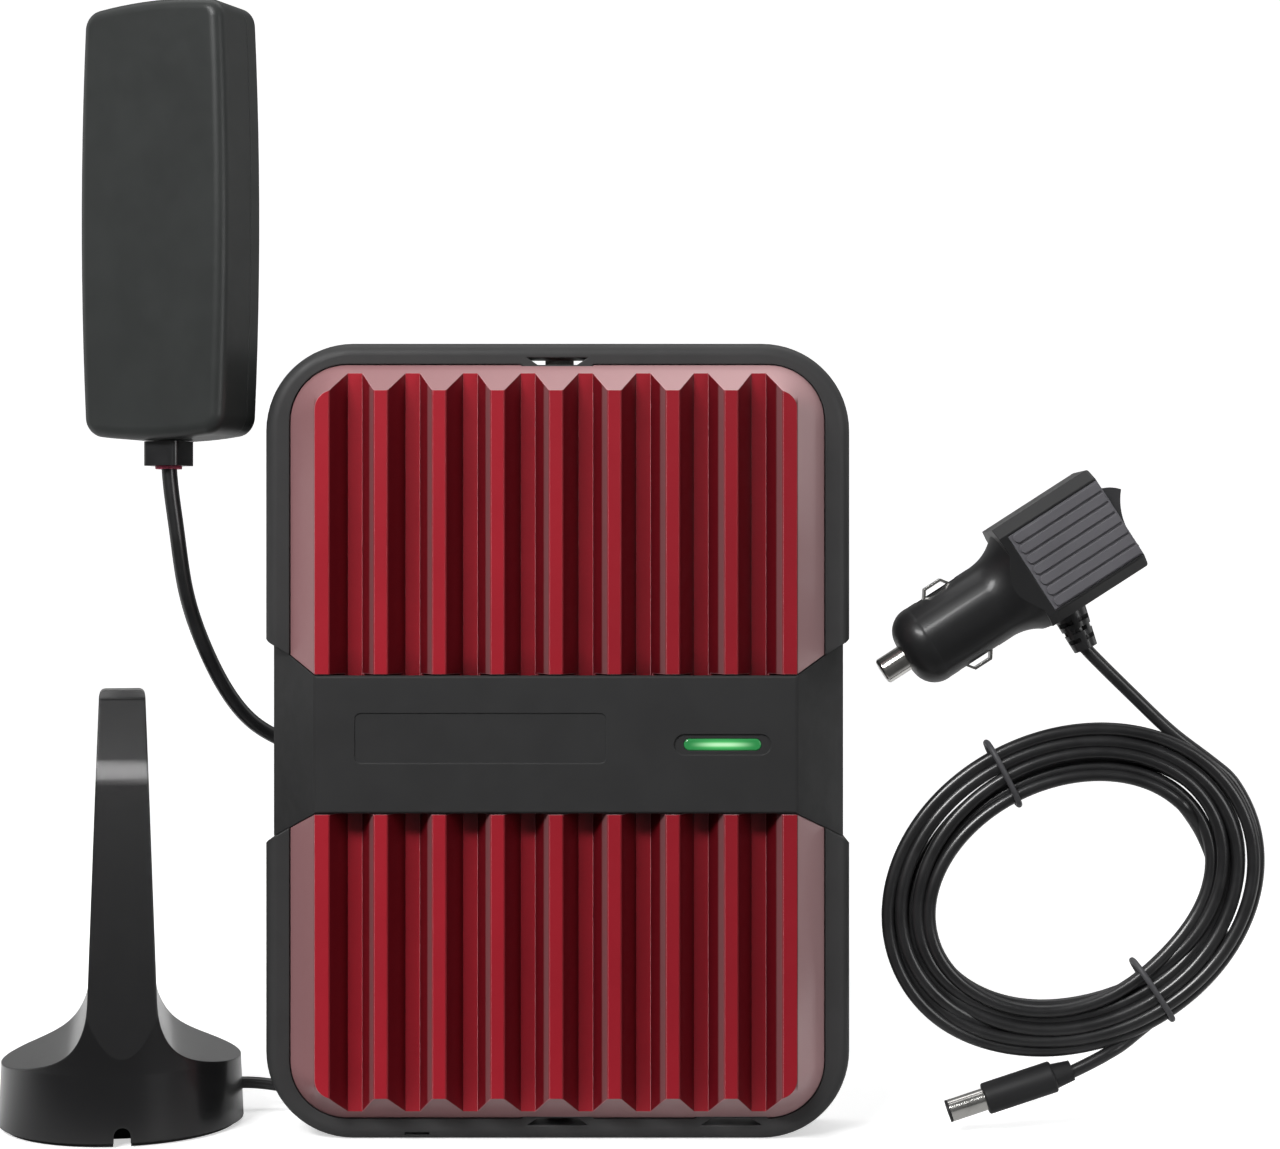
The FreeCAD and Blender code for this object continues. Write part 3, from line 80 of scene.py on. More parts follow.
def scaled(colour, factor, extra=0.0):
    """A colour made lighter or darker, and never above 1."""
    return tuple(min(1.0, c * factor + extra) for c in colour)


class Shader:
    """A small wrapper that adds nodes to one material and links them."""

    def __init__(self, name):
        self.material = bpy.data.materials.new(name)
        self.material.use_nodes = True
        self.tree = self.material.node_tree
        self.tree.nodes.clear()
        self.output = self.tree.nodes.new("ShaderNodeOutputMaterial")
        self.coords = self.tree.nodes.new("ShaderNodeTexCoord").outputs["Object"]

    def node(self, kind, **settings):
        made = self.tree.nodes.new(kind)
        for key, value in settings.items():
            setattr(made, key, value)
        return made

    def join(self, source, target):
        self.tree.links.new(source, target)

    def put(self, target, value):
        """Link a socket, or set a plain value."""
        if isinstance(value, bpy.types.NodeSocket):
            self.join(value, target)
        elif hasattr(value, "__len__") and len(value) == 3 and target.type == "RGBA":
            target.default_value = (*value, 1.0)
        else:
            target.default_value = value

    def noise(self, size, detail=4.0, rough=0.55, stretch=(1, 1, 1)):
        """Noise whose features are about size metres across."""
        scale = self.node("ShaderNodeVectorMath", operation="MULTIPLY")
        self.join(self.coords, scale.inputs[0])
        scale.inputs[1].default_value = stretch
        texture = self.node("ShaderNodeTexNoise")
        self.join(scale.outputs[0], texture.inputs["Vector"])
        texture.inputs["Scale"].default_value = 1.0 / size
        texture.inputs["Detail"].default_value = detail
        texture.inputs["Roughness"].default_value = rough
        return texture.outputs["Fac"]

    def ramp(self, value, low, high, out_low=0.0, out_high=1.0):
        """Map value from low..high to out_low..out_high, clamped and smooth."""
        mapped = self.node("ShaderNodeMapRange", interpolation_type="SMOOTHSTEP")
        self.put(mapped.inputs["Value"], value)
        set_range(mapped, low, high, out_low, out_high)
        return mapped.outputs["Result"]

    def math(self, operation, a, b=0.0):
        made = self.node("ShaderNodeMath", operation=operation)
        self.put(made.inputs[0], a)
        self.put(made.inputs[1], b)
        return made.outputs[0]

    def mix(self, factor, a, b):
        """Mix two colours."""
        made = self.node("ShaderNodeMix", data_type="RGBA")
        self.put(made.inputs[0], factor)
        self.put(made.inputs[6], a)
        self.put(made.inputs[7], b)
        return made.outputs[2]

    def axis(self, index):
        """One coordinate of the point in the model's frame, in metres."""
        split = self.node("ShaderNodeSeparateXYZ")
        self.join(self.coords, split.inputs[0])
        return split.outputs[index]

    def rounded(self, radius):
        """The normal with every edge rounded over by radius."""
        made = self.node("ShaderNodeBevel", samples=6)
        made.inputs["Radius"].default_value = radius
        return made.outputs["Normal"]

    def edge(self, radius):
        """About 0 on flat faces and up to 1 on sharp edges."""
        made = self.node("ShaderNodeBevel", samples=6)
        made.inputs["Radius"].default_value = radius
        geometry = self.node("ShaderNodeNewGeometry")
        dot = self.node("ShaderNodeVectorMath", operation="DOT_PRODUCT")
        self.join(made.outputs["Normal"], dot.inputs[0])
        self.join(geometry.outputs["Normal"], dot.inputs[1])
        return self.ramp(dot.outputs["Value"], 0.995, 0.86)

    def bump(self, height, distance, normal=None):
        """The normal of a surface raised by height, 0 to 1, times distance."""
        made = self.node("ShaderNodeBump")
        made.inputs["Strength"].default_value = 1.0
        made.inputs["Distance"].default_value = distance
        self.put(made.inputs["Height"], height)
        if normal is not None:
            self.join(normal, made.inputs["Normal"])
        return made.outputs["Normal"]

    def surface(self, **inputs):
        """The Principled surface, with inputs named as in Blender but with underscores."""
        made = self.node("ShaderNodeBsdfPrincipled")
        for key, value in inputs.items():
            self.put(made.inputs[key.replace("_", " ")], value)
        self.join(made.outputs[0], self.output.inputs["Surface"])


# ---------------------------------------------------------------- materials
def moulded_plastic(name, colour, rough, grain=0.35 * MM, depth=0.012 * MM, coat=0.0, edge_r=0.3 * MM,
                    spec=0.32, vary=0.03):
    """Moulded plastic: a fine spark-eroded grain, faint mottling, and edges a little polished."""
    s = Shader(name)
    mottle = s.noise(14 * MM, 3)
    fine = s.noise(grain, 3, 0.6)
    tone = s.mix(s.ramp(mottle, 0.35, 0.65), scaled(colour, 0.95), scaled(colour, 1.05))
    worn = s.edge(edge_r * 1.3)
    tone = s.mix(s.math("MULTIPLY", worn, 0.35), tone, scaled(colour, 1.5, 0.01))
    roughness = s.ramp(s.noise(5 * MM, 4), 0.3, 0.7, rough - vary, rough + vary)
    normal = s.bump(fine, depth, s.rounded(edge_r))
    s.surface(Base_Color=tone, Roughness=roughness, Normal=normal, Coat_Weight=coat, Coat_Roughness=0.12,
              Specular_IOR_Level=spec)
    return s.material


PEAK_RED = (0.47, 0.016, 0.031)     # the flat fronts of the fins
REFLECTION_PINK_LEFT = (0.43, 0.212, 0.222)    # painted reflection of the bright room in the coat of the sink's sloping rim, paler on the right
REFLECTION_PINK_RIGHT = (0.60, 0.360, 0.370)
SHADE_RED = (0.140, 0.005, 0.010)    # painted shade: the walls of the grooves, and the fins towards the right
CORNER_SHADE_RED = (0.05, 0.0008, 0.003)    # painted shade in the corners at the bottom of the grooves
EDGE_HIGHLIGHT_RED = (0.85, 0.36, 0.40)      # painted highlight: the thin bright line along each edge that faces left
FLAKE_RED = (0.66, 0.07, 0.10)
PEAK_HALF_W = 57.6 * MM             # half width of the heat sink's flat front


def sloping_rim(s, normal):
    """1 on the heat sink's four sloping sides and 0 on its fins and in its grooves."""
    beyond = s.math("SUBTRACT", s.math("ABSOLUTE", s.axis(0)), PEAK_HALF_W)
    upright = s.math("ABSOLUTE", normal.outputs[2])
    return s.math("MAXIMUM", s.ramp(beyond, 0.05 * MM, 0.40 * MM), s.ramp(upright, 0.25, 0.55))


def fin_tone(s):
    """Red with faint clouds and flakes, and painted shade that darkens it a little towards the right,
    away from the key light.
    """
    cloud = s.noise(30 * MM, 3)
    tone = s.mix(s.ramp(cloud, 0.3, 0.7), scaled(PEAK_RED, 0.95), scaled(PEAK_RED, 1.05))
    flake = s.ramp(s.noise(0.16 * MM, 2), 0.55, 0.75)
    tone = s.mix(s.math("MULTIPLY", flake, 0.10), tone, FLAKE_RED)
    # painted shade: the fins are darkened towards the right, away from the key light
    return s.mix(s.ramp(s.axis(0), -0.05, 0.06, 0.0, 0.35), tone, SHADE_RED)


def groove_tone(s, tone, normal, leftwards):
    """Paint shade on the walls and into the corners of the grooves, and a painted reflection on the top
    of each wall that faces left.
    """
    # painted shade on the walls of the grooves, found by how far the surface faces sideways
    wall = s.ramp(s.math("ABSOLUTE", normal.outputs[0]), 0.55, 0.85)
    tone = s.mix(s.math("MULTIPLY", wall, 0.88), tone, SHADE_RED)
    # painted shade in the corners of the grooves, from ambient occlusion
    shade = s.node("ShaderNodeAmbientOcclusion", samples=8)
    shade.inputs["Distance"].default_value = 9 * MM
    tone = s.mix(s.ramp(shade.outputs["AO"], 0.25, 0.62), CORNER_SHADE_RED, tone)
    # painted reflection: the top of each wall that faces left, near the fins' fronts, is lightened
    near_front = s.ramp(s.axis(1), -15.6 * MM, -16.6 * MM)
    lit_top = s.math("MULTIPLY", s.ramp(leftwards, 0.6, 0.85), near_front)
    return s.mix(s.math("MULTIPLY", lit_top, 0.55), tone, REFLECTION_PINK_LEFT)


def red_coating():
    """Deep red coated metal under a clear coat, with a painted reflection that makes its sloping rim
    pale, painted shade that makes the grooves dark and a painted highlight along edges that face left.
    """
    s = Shader("red_coating")
    round_edges = s.rounded(0.25 * MM)
    normal = s.node("ShaderNodeSeparateXYZ")
    s.join(round_edges, normal.inputs[0])
    leftwards = s.math("MULTIPLY", normal.outputs[0], -1.0)
    tone = groove_tone(s, fin_tone(s), normal, leftwards)
    # painted reflection of the bright room on the sloping rim, paler towards the right
    pale = s.mix(s.ramp(s.axis(0), -0.06, 0.06), REFLECTION_PINK_LEFT, REFLECTION_PINK_RIGHT)
    tone = s.mix(sloping_rim(s, normal), tone, pale)
    # painted highlight along the rounded edges that face left
    edge_highlight = s.math("MULTIPLY", s.edge(0.30 * MM), s.ramp(leftwards, 0.05, 0.35))
    tone = s.mix(edge_highlight, tone, EDGE_HIGHLIGHT_RED)
    peel = s.noise(1.1 * MM, 2)
    skin = s.bump(peel, 0.002 * MM, round_edges)
    rough = s.ramp(s.noise(4 * MM, 3), 0.3, 0.7, 0.38, 0.44)
    s.surface(Base_Color=tone, Metallic=0.1, Roughness=rough, Normal=skin, Coat_Weight=0.55, Coat_IOR=1.5,
              Coat_Roughness=0.2, Coat_Normal=skin, Specular_IOR_Level=0.2)
    return s.material


def cord_jacket():
    """Smooth black vinyl, faintly cloudy and duller in patches."""
    s = Shader("lead_jacket")
    tone = s.mix(s.ramp(s.noise(9 * MM, 3), 0.35, 0.7), (0.013, 0.013, 0.0138), (0.021, 0.021, 0.022))
    roughness = s.ramp(s.noise(7 * MM, 2), 0.3, 0.7, 0.30, 0.38)
    normal = s.bump(s.noise(5 * MM, 1), 0.01 * MM)
    s.surface(Base_Color=tone, Roughness=roughness, Normal=normal, Coat_Weight=0.40, Coat_Roughness=0.15)
    return s.material


def rubber(name, colour, rough):
    """Soft polymer: faint dust mottling and a fine skin."""
    s = Shader(name)
    tone = s.mix(s.ramp(s.noise(6 * MM, 4), 0.35, 0.7), colour, scaled(colour, 1.3, 0.002))
    normal = s.bump(s.noise(0.5 * MM, 3), 0.004 * MM, s.rounded(0.2 * MM))
    roughness = s.ramp(s.noise(2.5 * MM, 3), 0.3, 0.7, rough - 0.04, rough + 0.04)
    s.surface(Base_Color=tone, Roughness=roughness, Normal=normal)
    return s.material


def plated_metal(name, colour, rough, brush=(1, 1, 1)):
    """Plated or brushed metal: fine drawn lines and slight tarnish."""
    s = Shader(name)
    lines = s.noise(0.25 * MM, 3, 0.6, brush)
    stain = s.ramp(s.noise(3 * MM, 4), 0.45, 0.75)
    tone = s.mix(s.math("MULTIPLY", stain, 0.6), colour, scaled(colour, 0.72))
    roughness = s.ramp(lines, 0.3, 0.7, rough * 0.7, rough * 1.3)
    normal = s.bump(lines, 0.004 * MM, s.rounded(0.12 * MM))
    s.surface(Base_Color=tone, Metallic=1.0, Roughness=roughness, Normal=normal)
    return s.material


def circuit_board():
    """Green solder mask with a lattice of copper tracks under it."""
    s = Shader("circuit_board")
    bricks = s.node("ShaderNodeTexBrick")
    s.join(s.coords, bricks.inputs["Vector"])
    bricks.inputs["Scale"].default_value = 180.0
    bricks.inputs["Mortar Size"].default_value = 0.05
    track = bricks.outputs["Fac"]
    tone = s.mix(track, (0.010, 0.085, 0.040), (0.030, 0.20, 0.085))
    normal = s.bump(track, 0.03 * MM)
    s.surface(Base_Color=tone, Roughness=0.3, Normal=normal, Coat_Weight=0.5)
    return s.material


def status_lens():
    """A lit green lens: whitest along its middle, deeper green towards both ends."""
    s = Shader("status_lens")
    low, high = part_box("light_pipe")
    middle = (low.x + high.x) / 2
    half = (high.x - low.x) / 2
    along = s.math("ABSOLUTE", s.math("SUBTRACT", s.axis(0), middle))
    centre = s.ramp(along, half * 0.10, half * 0.90, 1.0, 0.0)
    height = s.math("ABSOLUTE", s.math("SUBTRACT", s.axis(2), (low.z + high.z) / 2))
    core = s.math("MULTIPLY", centre, s.ramp(height, 0.1 * MM, 0.75 * MM, 1.0, 0.0))
    rim = s.ramp(height, 0.5 * MM, 1.3 * MM, 1.0, 0.25)
    glow = s.mix(s.math("MULTIPLY", centre, rim), (0.006, 0.075, 0.018), (0.07, 0.42, 0.11))
    glow = s.mix(core, glow, (0.60, 0.88, 0.58))
    swirl = s.noise(0.8 * MM, 2)
    s.surface(Base_Color=(0.03, 0.25, 0.07), Roughness=0.22, Normal=s.bump(swirl, 0.01 * MM),
              Emission_Color=glow, Emission_Strength=0.9, Coat_Weight=0.8)
    return s.material


def glass_tube():
    """Clear, very slightly green glass."""
    s = Shader("fuse_glass")
    tone = s.mix(s.ramp(s.noise(2 * MM), 0.4, 0.6), (0.80, 0.86, 0.84), (0.90, 0.93, 0.92))
    s.surface(Base_Color=tone, Roughness=0.06, Transmission_Weight=0.8, IOR=1.5)
    return s.material


MATERIALS = {
    "red_coat": red_coating(),
    "frame_plastic": moulded_plastic("frame_plastic", (0.046, 0.046, 0.0465), 0.50, depth=0.008 * MM,
                                     edge_r=0.5 * MM),
    # the band takes the frame's plastic made darker: painted shade on the recessed band
    "band_plastic": moulded_plastic("band_plastic", (0.030, 0.030, 0.0305), 0.52, depth=0.006 * MM),
    "lens": status_lens(),
    "circuit_green": circuit_board(),
    "ribbon": moulded_plastic("ribbon_film", (0.62, 0.33, 0.08), 0.3, coat=0.5),
    "shield_tin": plated_metal("shield_tin", (0.72, 0.71, 0.68), 0.35),
    "chip_black": moulded_plastic("chip_black", (0.012, 0.012, 0.013), 0.5),
    "pad_grey": rubber("thermal_pad", (0.22, 0.28, 0.36), 0.7),
    "filter_tan": moulded_plastic("filter_ceramic", (0.60, 0.52, 0.38), 0.35),
    "cover_metal": plated_metal("anodised_cover", (0.075, 0.075, 0.080), 0.42, (1, 1, 0.05)),
    "black_rubber": rubber("black_rubber", (0.014, 0.014, 0.014), 0.72),
    "screw_steel": plated_metal("screw_steel", (0.50, 0.50, 0.52), 0.28),
    "nickel": plated_metal("nickel", (0.74, 0.73, 0.70), 0.16),
    "antenna_plastic": moulded_plastic("antenna_plastic", (0.040, 0.043, 0.042), 0.36, depth=0.003 * MM,
                                       edge_r=0.4 * MM),
    "mast_plastic": moulded_plastic("mast_plastic", (0.0085, 0.0085, 0.009), 0.25, depth=0.0003 * MM,
                                    coat=0.35, edge_r=0.8 * MM, spec=0.55, vary=0.006),
    "element_copper": plated_metal("element_copper", (0.62, 0.30, 0.16), 0.3),
    "ring_red": moulded_plastic("ring_red", (0.50, 0.07, 0.13), 0.4),
    "foam_pad": rubber("foam_pad", (0.035, 0.035, 0.036), 0.85),
    "lead_jacket": cord_jacket(),
    "magnet_nickel": plated_metal("magnet_nickel", (0.58, 0.58, 0.58), 0.3),
    "supply_plastic": moulded_plastic("supply_plastic", (0.017, 0.017, 0.0178), 0.38, depth=0.002 * MM,
                                      coat=0.15),
    "grip_plastic": moulded_plastic("grip_plastic", (0.135, 0.132, 0.145), 0.46, grain=0.25 * MM,
                                    depth=0.02 * MM),
    "switch_plastic": moulded_plastic("switch_plastic", (0.045, 0.045, 0.048), 0.38, depth=0.004 * MM),
    "fuse_glass": glass_tube(),
    "tie_cord": rubber("tie_cord", (0.065, 0.065, 0.070), 0.5),
    "insulator": moulded_plastic("insulator", (0.018, 0.018, 0.019), 0.5, depth=0.01 * MM),
}


def paint_nodes():
    """Every carried-over CAD node takes the material of its slot in the record."""
    for part in frame["record"]["subparts"]:
        mesh = NODES[part["node"]].data
        mesh.materials.clear()
        mesh.materials.append(MATERIALS[part["material_slot"]])


# ---------------------------------------------------------------- the coiled power cord
CORD_HALF_W = 1.60 * MM      # the cord is a slightly flattened oval
CORD_HALF_T = 1.40 * MM
CORD_SIDES = 20
CORD_STEP = 1.2 * MM
COIL_CENTRE = Vector((0.1263, 0.0, 0.0607))
COIL_TILT = math.radians(25.0)  # its long axis rises this much towards +X
COIL_A = 47.6 * MM           # half length and half width of its outermost turn
COIL_B = 38.8 * MM
COIL_START = math.radians(12.0)  # where the cord joins it, from the end of the long axis
COIL_TURNS = 7
COIL_PITCH = 1.80 * MM       # each turn lies about this far inside the last
COIL_DEEPEST = 13.0 * MM     # the turns aim to stay within this far of the outermost
COIL_HALF_D = 3.4 * MM       # no strand's middle is further than this in front or behind
PER_TURN = 96                # points in each turn
SETTLE_ROUNDS = 160
SETTLE_PULL = 0.03           # the share of the way back to its goal that a point moves in each round
SETTLE_EVEN = 0.45           # and the share of the way to the middle of its two neighbours
CORD_DOWN = ((0.1418, 0.1075), (0.1510, 0.0988), (0.1604, 0.0916))  # (x, z) from the sleeve to the coil
CORD_UNDER = (               # (turns on, mm further out, mm behind) where it leaves the coil
    (0.05, 1.0, 3.0),
    (0.10, 3.6, 4.6),
    (0.15, 8.0, 5.0),
    (0.20, 13.0, 4.6),
)
CORD_OUT = ((0.1425, 0.0020, 0.0242), (0.1350, 0.0005, 0.0194))  # from there to the free plug
PLUG_DIP = math.radians(18.4)  # the free plug points this far below level, to the left
SUPPLY_TILT = math.radians(57.2)  # the supply leans this far over to +X, from tip to switch
SUPPLY_TIP = Vector((0.0797, 0, 0.1135))
TIE_R = 0.72 * MM            # the thin cord of the two ties
TIE_HALF_W = 8.6 * MM        # half of a tie's loop, across the bundle and through it
TIE_HALF_D = 5.6 * MM
TIE_STEPS = 48
TIE_SQUARENESS = 0.8         # 1 would make an ellipse
TIES = (                     # middle (x, z) and the way out of the coil there
    ((0.1094, 0.0886), (-0.46, 0.89)),
    ((0.1462, 0.0354), (0.55, -0.83)),
)
SPRING_START = 11.2 * MM     # from the very tip of the plug, at rest
SPRING_LENGTH = 8.7 * MM
SPRING_TURNS = 4
SPRING_STEPS = 24            # points in each turn
SPRING_R = 3.0 * MM
SPRING_WIRE_R = 0.34 * MM


def coil_place(turn, inset, depth):
    """A point of the coil; turns run clockwise from the upper right."""
    angle = COIL_START - 2 * math.pi * turn
    u = (COIL_A - inset) * math.cos(angle)
    w = (COIL_B - inset) * math.sin(angle)
    return Vector((COIL_CENTRE.x + u * math.cos(COIL_TILT) - w * math.sin(COIL_TILT), depth,
                   COIL_CENTRE.z + u * math.sin(COIL_TILT) + w * math.cos(COIL_TILT)))


def push_apart(inset, depth):
    """Move points of different turns that stand at the same angle apart until their strands clear."""
    apart = 2 * CORD_HALF_T * 0.98
    for step in range(1, COIL_TURNS):
        a = np.arange(len(inset) - step * PER_TURN)
        b = a + step * PER_TURN
        dx = inset[b] - inset[a]
        dy = depth[b] - depth[a] + 1e-6
        gap = np.hypot(dx, dy)
        push = np.clip(apart - gap, 0, None) * 0.25 / np.maximum(gap, 1e-7)
        np.add.at(inset, a, -dx * push)
        np.add.at(inset, b, dx * push)
        np.add.at(depth, a, -dy * push)
        np.add.at(depth, b, dy * push)


def settled_strands():
    """(turn, inset, depth) all along the coil, whose turns wander, cross and then settle side by side.

    Turn after turn lies in front of the last and then behind it, so that the strands make two layers."""
    turn = np.arange(COIL_TURNS * PER_TURN + 1) / PER_TURN
    wander = 0.9 * np.sin(2 * np.pi * 0.57 * turn + 0.4) + 0.7 * np.sin(2 * np.pi * 1.31 * turn + 2.0)
    goal = COIL_PITCH * turn + wander * MM * np.clip(turn - 0.7, 0, 1)
    goal = np.clip(goal, 0.0, COIL_DEEPEST)
    layer = 1.35 * MM * np.cos(np.pi * turn + 0.5) + 0.5 * MM * np.sin(2 * np.pi * 0.43 * turn + 0.9)
    layer *= np.clip(turn * 2.0, 0, 1)
    inset = goal.copy()
    depth = layer.copy()
    for _ in range(SETTLE_ROUNDS):
        push_apart(inset, depth)
        inset += SETTLE_PULL * (goal - inset)
        depth += SETTLE_PULL * (layer - depth)
        for lane in (inset, depth):
            lane[1:-1] += SETTLE_EVEN * (0.5 * (lane[:-2] + lane[2:]) - lane[1:-1])
        inset[0] = 0.0
        depth[0] = 0.0
        np.clip(inset, 0.0, COIL_DEEPEST + 1.2 * MM, out=inset)
        np.clip(depth, -COIL_HALF_D, COIL_HALF_D, out=depth)
    for lane in (inset, depth):
        for _ in range(12):
            lane[1:-1] = 0.25 * lane[:-2] + 0.5 * lane[1:-1] + 0.25 * lane[2:]
    return turn, inset, depth


def smooth_line(points, step):
    """Points every step metres along a Catmull-Rom curve through the given points."""
    places = [points[0] * 2 - points[1]] + list(points) + [points[-1] * 2 - points[-2]]
    out = []
    for p0, p1, p2, p3 in zip(places, places[1:], places[2:], places[3:]):
        pieces = max(1, round((p2 - p1).length / step))
        for i in range(pieces):
            t = i / pieces
            out.append(0.5 * (2 * p1 + (p2 - p0) * t + (2 * p0 - 5 * p1 + 4 * p2 - p3) * t * t
                              + (3 * p1 - p0 - 3 * p2 + p3) * t ** 3))
    out.append(points[-1])
    return out


def cord_mesh(name, places, half_w, half_t):
    """An oval cord swept along the places without any sudden roll."""
    sides = CORD_SIDES
    vertices = []
    faces = []
    across = Vector((0, 1, 0))
    for i, place in enumerate(places):
        ahead = places[min(i + 1, len(places) - 1)] - places[max(i - 1, 0)]
        ahead.normalize()
        across = (across - ahead * across.dot(ahead)).normalized()
        up = ahead.cross(across)
        for k in range(sides):
            angle = 2 * math.pi * k / sides
            vertices.append(place + across * (half_t * math.cos(angle)) + up * (half_w * math.sin(angle)))
    for i in range(len(places) - 1):
        for k in range(sides):
            n = (k + 1) % sides
            faces.append((i * sides + k, i * sides + n, (i + 1) * sides + n, (i + 1) * sides + k))
    faces.append(tuple(range(sides))[::-1])
    faces.append(tuple((len(places) - 1) * sides + k for k in range(sides)))
    mesh = bpy.data.meshes.new(name)
    mesh.from_pydata(vertices, [], faces)
    for polygon in mesh.polygons[:-2]:
        polygon.use_smooth = True
    cord = bpy.data.objects.new(name, mesh)
    bpy.context.collection.objects.link(cord)
    return cord


def power_cord():
    """From the strain relief down to the coil, round it, and out behind it to the free plug."""
    low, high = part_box("strain_relief")  # its axis runs from near one corner of this box to the other
    root = Vector((low.x + 5.2 * MM, 0, high.z - 7.6 * MM))
    sleeve_end = Vector((high.x - 3.0 * MM, 0, low.z + 1.5 * MM))
    heading = (sleeve_end - root).normalized()
    start = sleeve_end - heading * 4 * MM
    turn, inset, depth = settled_strands()
    coil = [coil_place(t, i, d) for t, i, d in zip(turn[::2], inset[::2], depth[::2])]
    points = [start, sleeve_end] + [Vector((x, 0, z)) for x, z in CORD_DOWN] + coil
    for step, out, back in CORD_UNDER:
        points.append(coil_place(turn[-1] + step, inset[-1] - out * MM, back * MM))
    low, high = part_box("dc_plug_body")
    plug_end = Vector((high.x - 1.0 * MM, 0, high.z - 2.9 * MM))
    into = Vector((-math.cos(PLUG_DIP), 0, -math.sin(PLUG_DIP)))
    points += [Vector(place) for place in CORD_OUT] + [plug_end, plug_end + into * 4 * MM]
    cord = cord_mesh("power_cord", smooth_line(points, CORD_STEP), CORD_HALF_W, CORD_HALF_T)
    cord.data.materials.append(MATERIALS["lead_jacket"])
    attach(cord, "power_supply")
    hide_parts("power_lead")


def signed_power(value):
    """A sine or cosine pushed outwards, so that a loop's corners are a little squarer."""
    return math.copysign(abs(value) ** TIE_SQUARENESS, value)


def lead_ties():
    """Two loops of thin cord drawn tight round the coil."""
    loops = []
    for (x, z), (out_x, out_z) in TIES:
        places = []
        for i in range(TIE_STEPS + 1):
            angle = 2 * math.pi * i / TIE_STEPS
            across = signed_power(math.cos(angle)) * TIE_HALF_W
            depth = signed_power(math.sin(angle)) * TIE_HALF_D
            places.append(Vector((x + out_x * across, depth, z + out_z * across)))
        loops.append(cord_mesh("tie_loop", places, TIE_R, TIE_R))
    with bpy.context.temp_override(active_object=loops[0], selected_editable_objects=loops):
        bpy.ops.object.join()
    ties = loops[0]
    ties.name = "tie_loops"
    ties.data.materials.append(MATERIALS["tie_cord"])
    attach(ties, "power_supply")
    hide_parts("lead_ties")


def tip_spring():
    """The coil spring behind the plug's tip, drawn as it is at rest."""
    inwards = Vector((math.sin(SUPPLY_TILT), 0, math.cos(SUPPLY_TILT)))
    across = Vector((math.cos(SUPPLY_TILT), 0, -math.sin(SUPPLY_TILT)))
    count = SPRING_TURNS * SPRING_STEPS
    places = []
    for i in range(count + 1):
        angle = 2 * math.pi * i / SPRING_STEPS
        along = SPRING_START + SPRING_LENGTH * i / count
        ring = across * math.cos(angle) + Vector((0, math.sin(angle), 0))
        places.append(SUPPLY_TIP + inwards * along + ring * SPRING_R)
    spring = cord_mesh("tip_spring_coil", places, SPRING_WIRE_R, SPRING_WIRE_R)
    spring.data.materials.append(MATERIALS["screw_steel"])
    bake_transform(spring)
    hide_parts("tip_spring")


# ---------------------------------------------------------------- stage, light and camera
CAMERA_AT = (0.0201, -0.619, 0.1376)
CAMERA_LENS = 70.7           # mm, on a sensor 36 mm wide


def sweep():
    depth_back = 2.6
    bend = 1.0
    front = -3.0
    half = 4.0
    steps = 24
    profile = [(front, 0.0), (depth_back - bend, 0.0)]
    for i in range(1, steps + 1):
        turn = math.pi / 2 * i / steps
        profile.append((depth_back - bend + bend * math.sin(turn), bend * (1 - math.cos(turn))))
    profile.append((depth_back, 5.0))
    vertices = [(x, y, z) for y, z in profile for x in (-half, half)]
    faces = [(2 * i, 2 * i + 1, 2 * i + 3, 2 * i + 2) for i in range(len(profile) - 1)]
    mesh = bpy.data.meshes.new("studio_sweep")
    mesh.from_pydata(vertices, [], faces)
    for polygon in mesh.polygons:
        polygon.use_smooth = True
    floor = bpy.data.objects.new("studio_sweep", mesh)
    bpy.context.collection.objects.link(floor)
    mesh.materials.append(studio_paper())


def studio_paper():
    """White paper.  Everything but the camera sees its front half dark, as if black cards lay there."""
    s = Shader("studio_paper")
    tone = s.mix(s.noise(0.4, 2), (0.90, 0.90, 0.90), (0.93, 0.93, 0.93))
    flagged = s.mix(s.ramp(s.axis(1), -0.10, 0.06), (0.07, 0.07, 0.07), tone)
    path = s.node("ShaderNodeLightPath").outputs
    seen = s.mix(path["Is Camera Ray"], flagged, tone)
    glow = s.math("MULTIPLY", path["Is Camera Ray"], s.ramp(s.axis(1), 0.4, 1.8, *PAPER_GLOW))
    s.surface(Base_Color=seen, Roughness=0.95, Specular_IOR_Level=0.0, Emission_Color=(1, 1, 1),
              Emission_Strength=glow)
    return s.material


def area_light(name, place, target, width, height, power):
    """A rectangular light that shines from its place towards the target."""
    data = bpy.data.lights.new(name, "AREA")
    data.shape = "RECTANGLE"
    data.size = width
    data.size_y = height
    data.energy = power
    light = bpy.data.objects.new(name, data)
    light.location = place
    light.rotation_euler = (Vector(target) - Vector(place)).to_track_quat("-Z", "Y").to_euler()
    bpy.context.collection.objects.link(light)
    return light


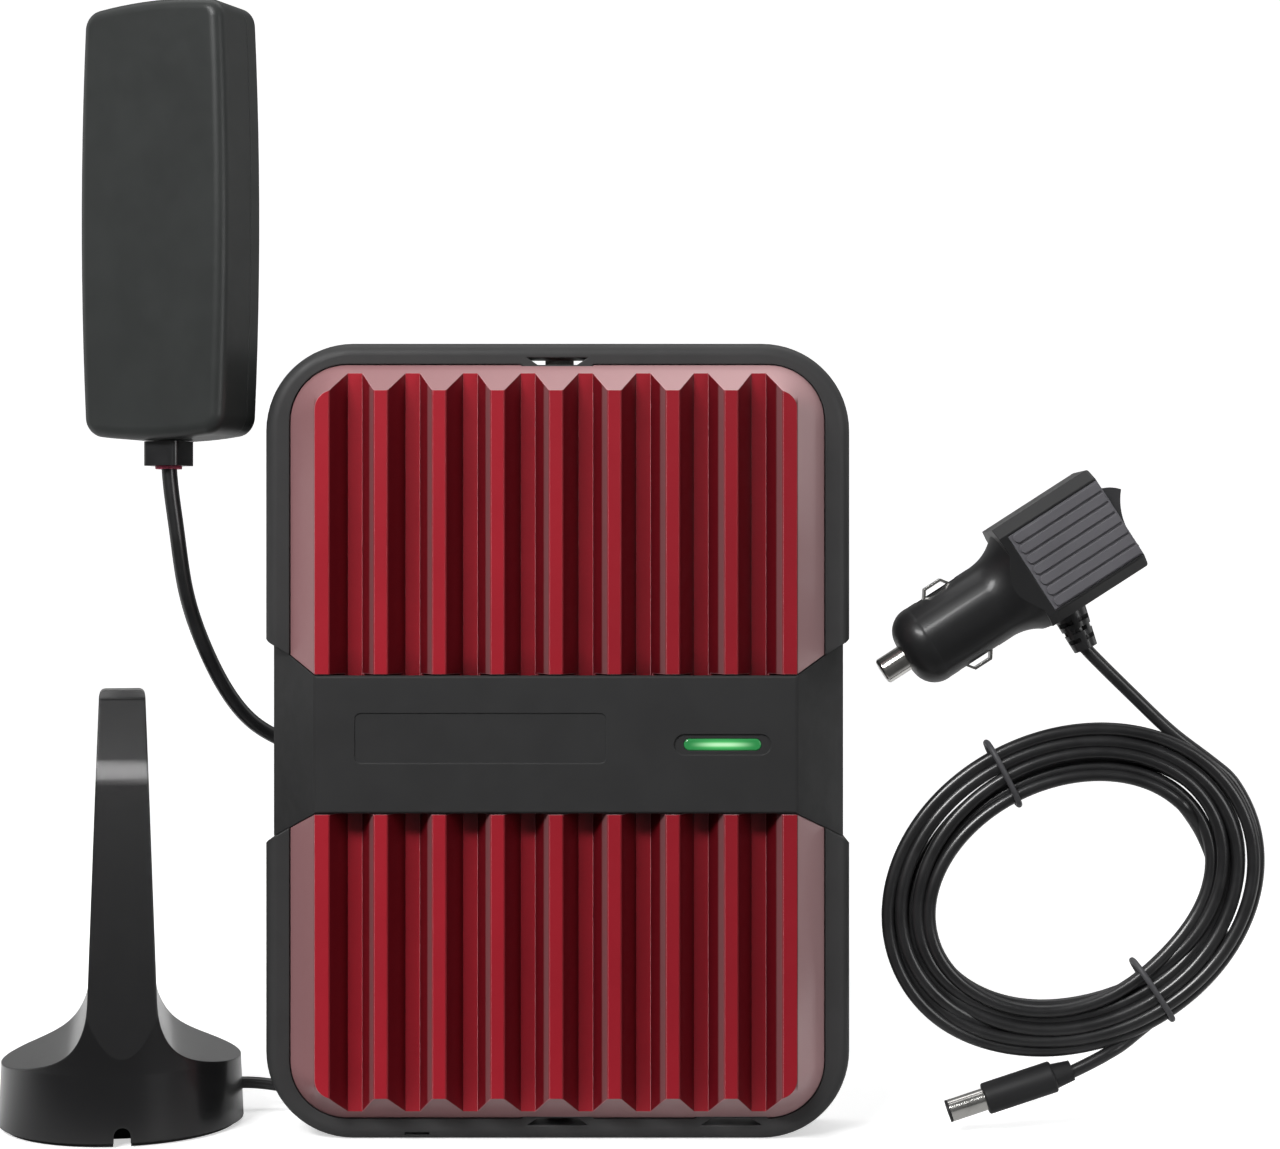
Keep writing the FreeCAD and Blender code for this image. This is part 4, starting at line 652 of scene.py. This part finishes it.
def surroundings():
    world = bpy.data.worlds.new("studio")
    bpy.context.scene.world = world
    world.use_nodes = True
    tree = world.node_tree
    background = tree.nodes["Background"]
    direction = tree.nodes.new("ShaderNodeTexCoord").outputs["Generated"]
    split = tree.nodes.new("ShaderNodeSeparateXYZ")
    tree.links.new(direction, split.inputs[0])
    ramp = tree.nodes.new("ShaderNodeMapRange")
    ramp.interpolation_type = "SMOOTHSTEP"
    tree.links.new(split.outputs["Y"], ramp.inputs["Value"])
    set_range(ramp, -0.35, 0.45, WORLD_FRONT, WORLD_BACK)
    path = tree.nodes.new("ShaderNodeLightPath")
    choose = tree.nodes.new("ShaderNodeMix")
    tree.links.new(path.outputs["Is Camera Ray"], choose.inputs[0])
    tree.links.new(ramp.outputs["Result"], choose.inputs[2])
    choose.inputs[3].default_value = 1.0
    tree.links.new(choose.outputs[0], background.inputs["Strength"])
    background.inputs["Color"].default_value = (1.0, 1.0, 1.0, 1)


def studio():
    """A key light high on the left, a weak fill, a soft top light, and one only for the mast's bend."""
    sweep()
    surroundings()
    target = (0.02, 0.0, 0.12)
    area_light("key", (-0.62, -1.15, 0.98), target, 0.7, 0.34, KEY_POWER)
    area_light("fill", (0.95, -1.0, 0.35), target, 0.5, 0.6, FILL_POWER)
    area_light("top", (0.0, 0.15, 1.5), target, 1.6, 0.9, TOP_POWER)
    knee = area_light("knee", (0.118, -1.12, 0.73), (-0.11, 0.0, 0.09), 0.36, 0.55, KNEE_POWER)
    only = bpy.data.collections.new("lit_by_knee")
    only.objects.link(NODES["outside_housing"])
    knee.light_linking.receiver_collection = only


def camera():
    """Level with the middle of the layout, looking straight at the fins."""
    data = bpy.data.cameras.new("camera")
    data.sensor_width = 36.0
    data.lens = CAMERA_LENS
    data.clip_start = 0.01
    data.clip_end = 20.0
    eye = bpy.data.objects.new("camera", data)
    eye.location = CAMERA_AT
    eye.rotation_euler = (math.radians(90), 0, 0)
    bpy.context.collection.objects.link(eye)
    bpy.context.scene.camera = eye


paint_nodes()
power_cord()
lead_ties()
tip_spring()
studio()
camera()
bpy.context.scene.view_settings.view_transform = "Standard"
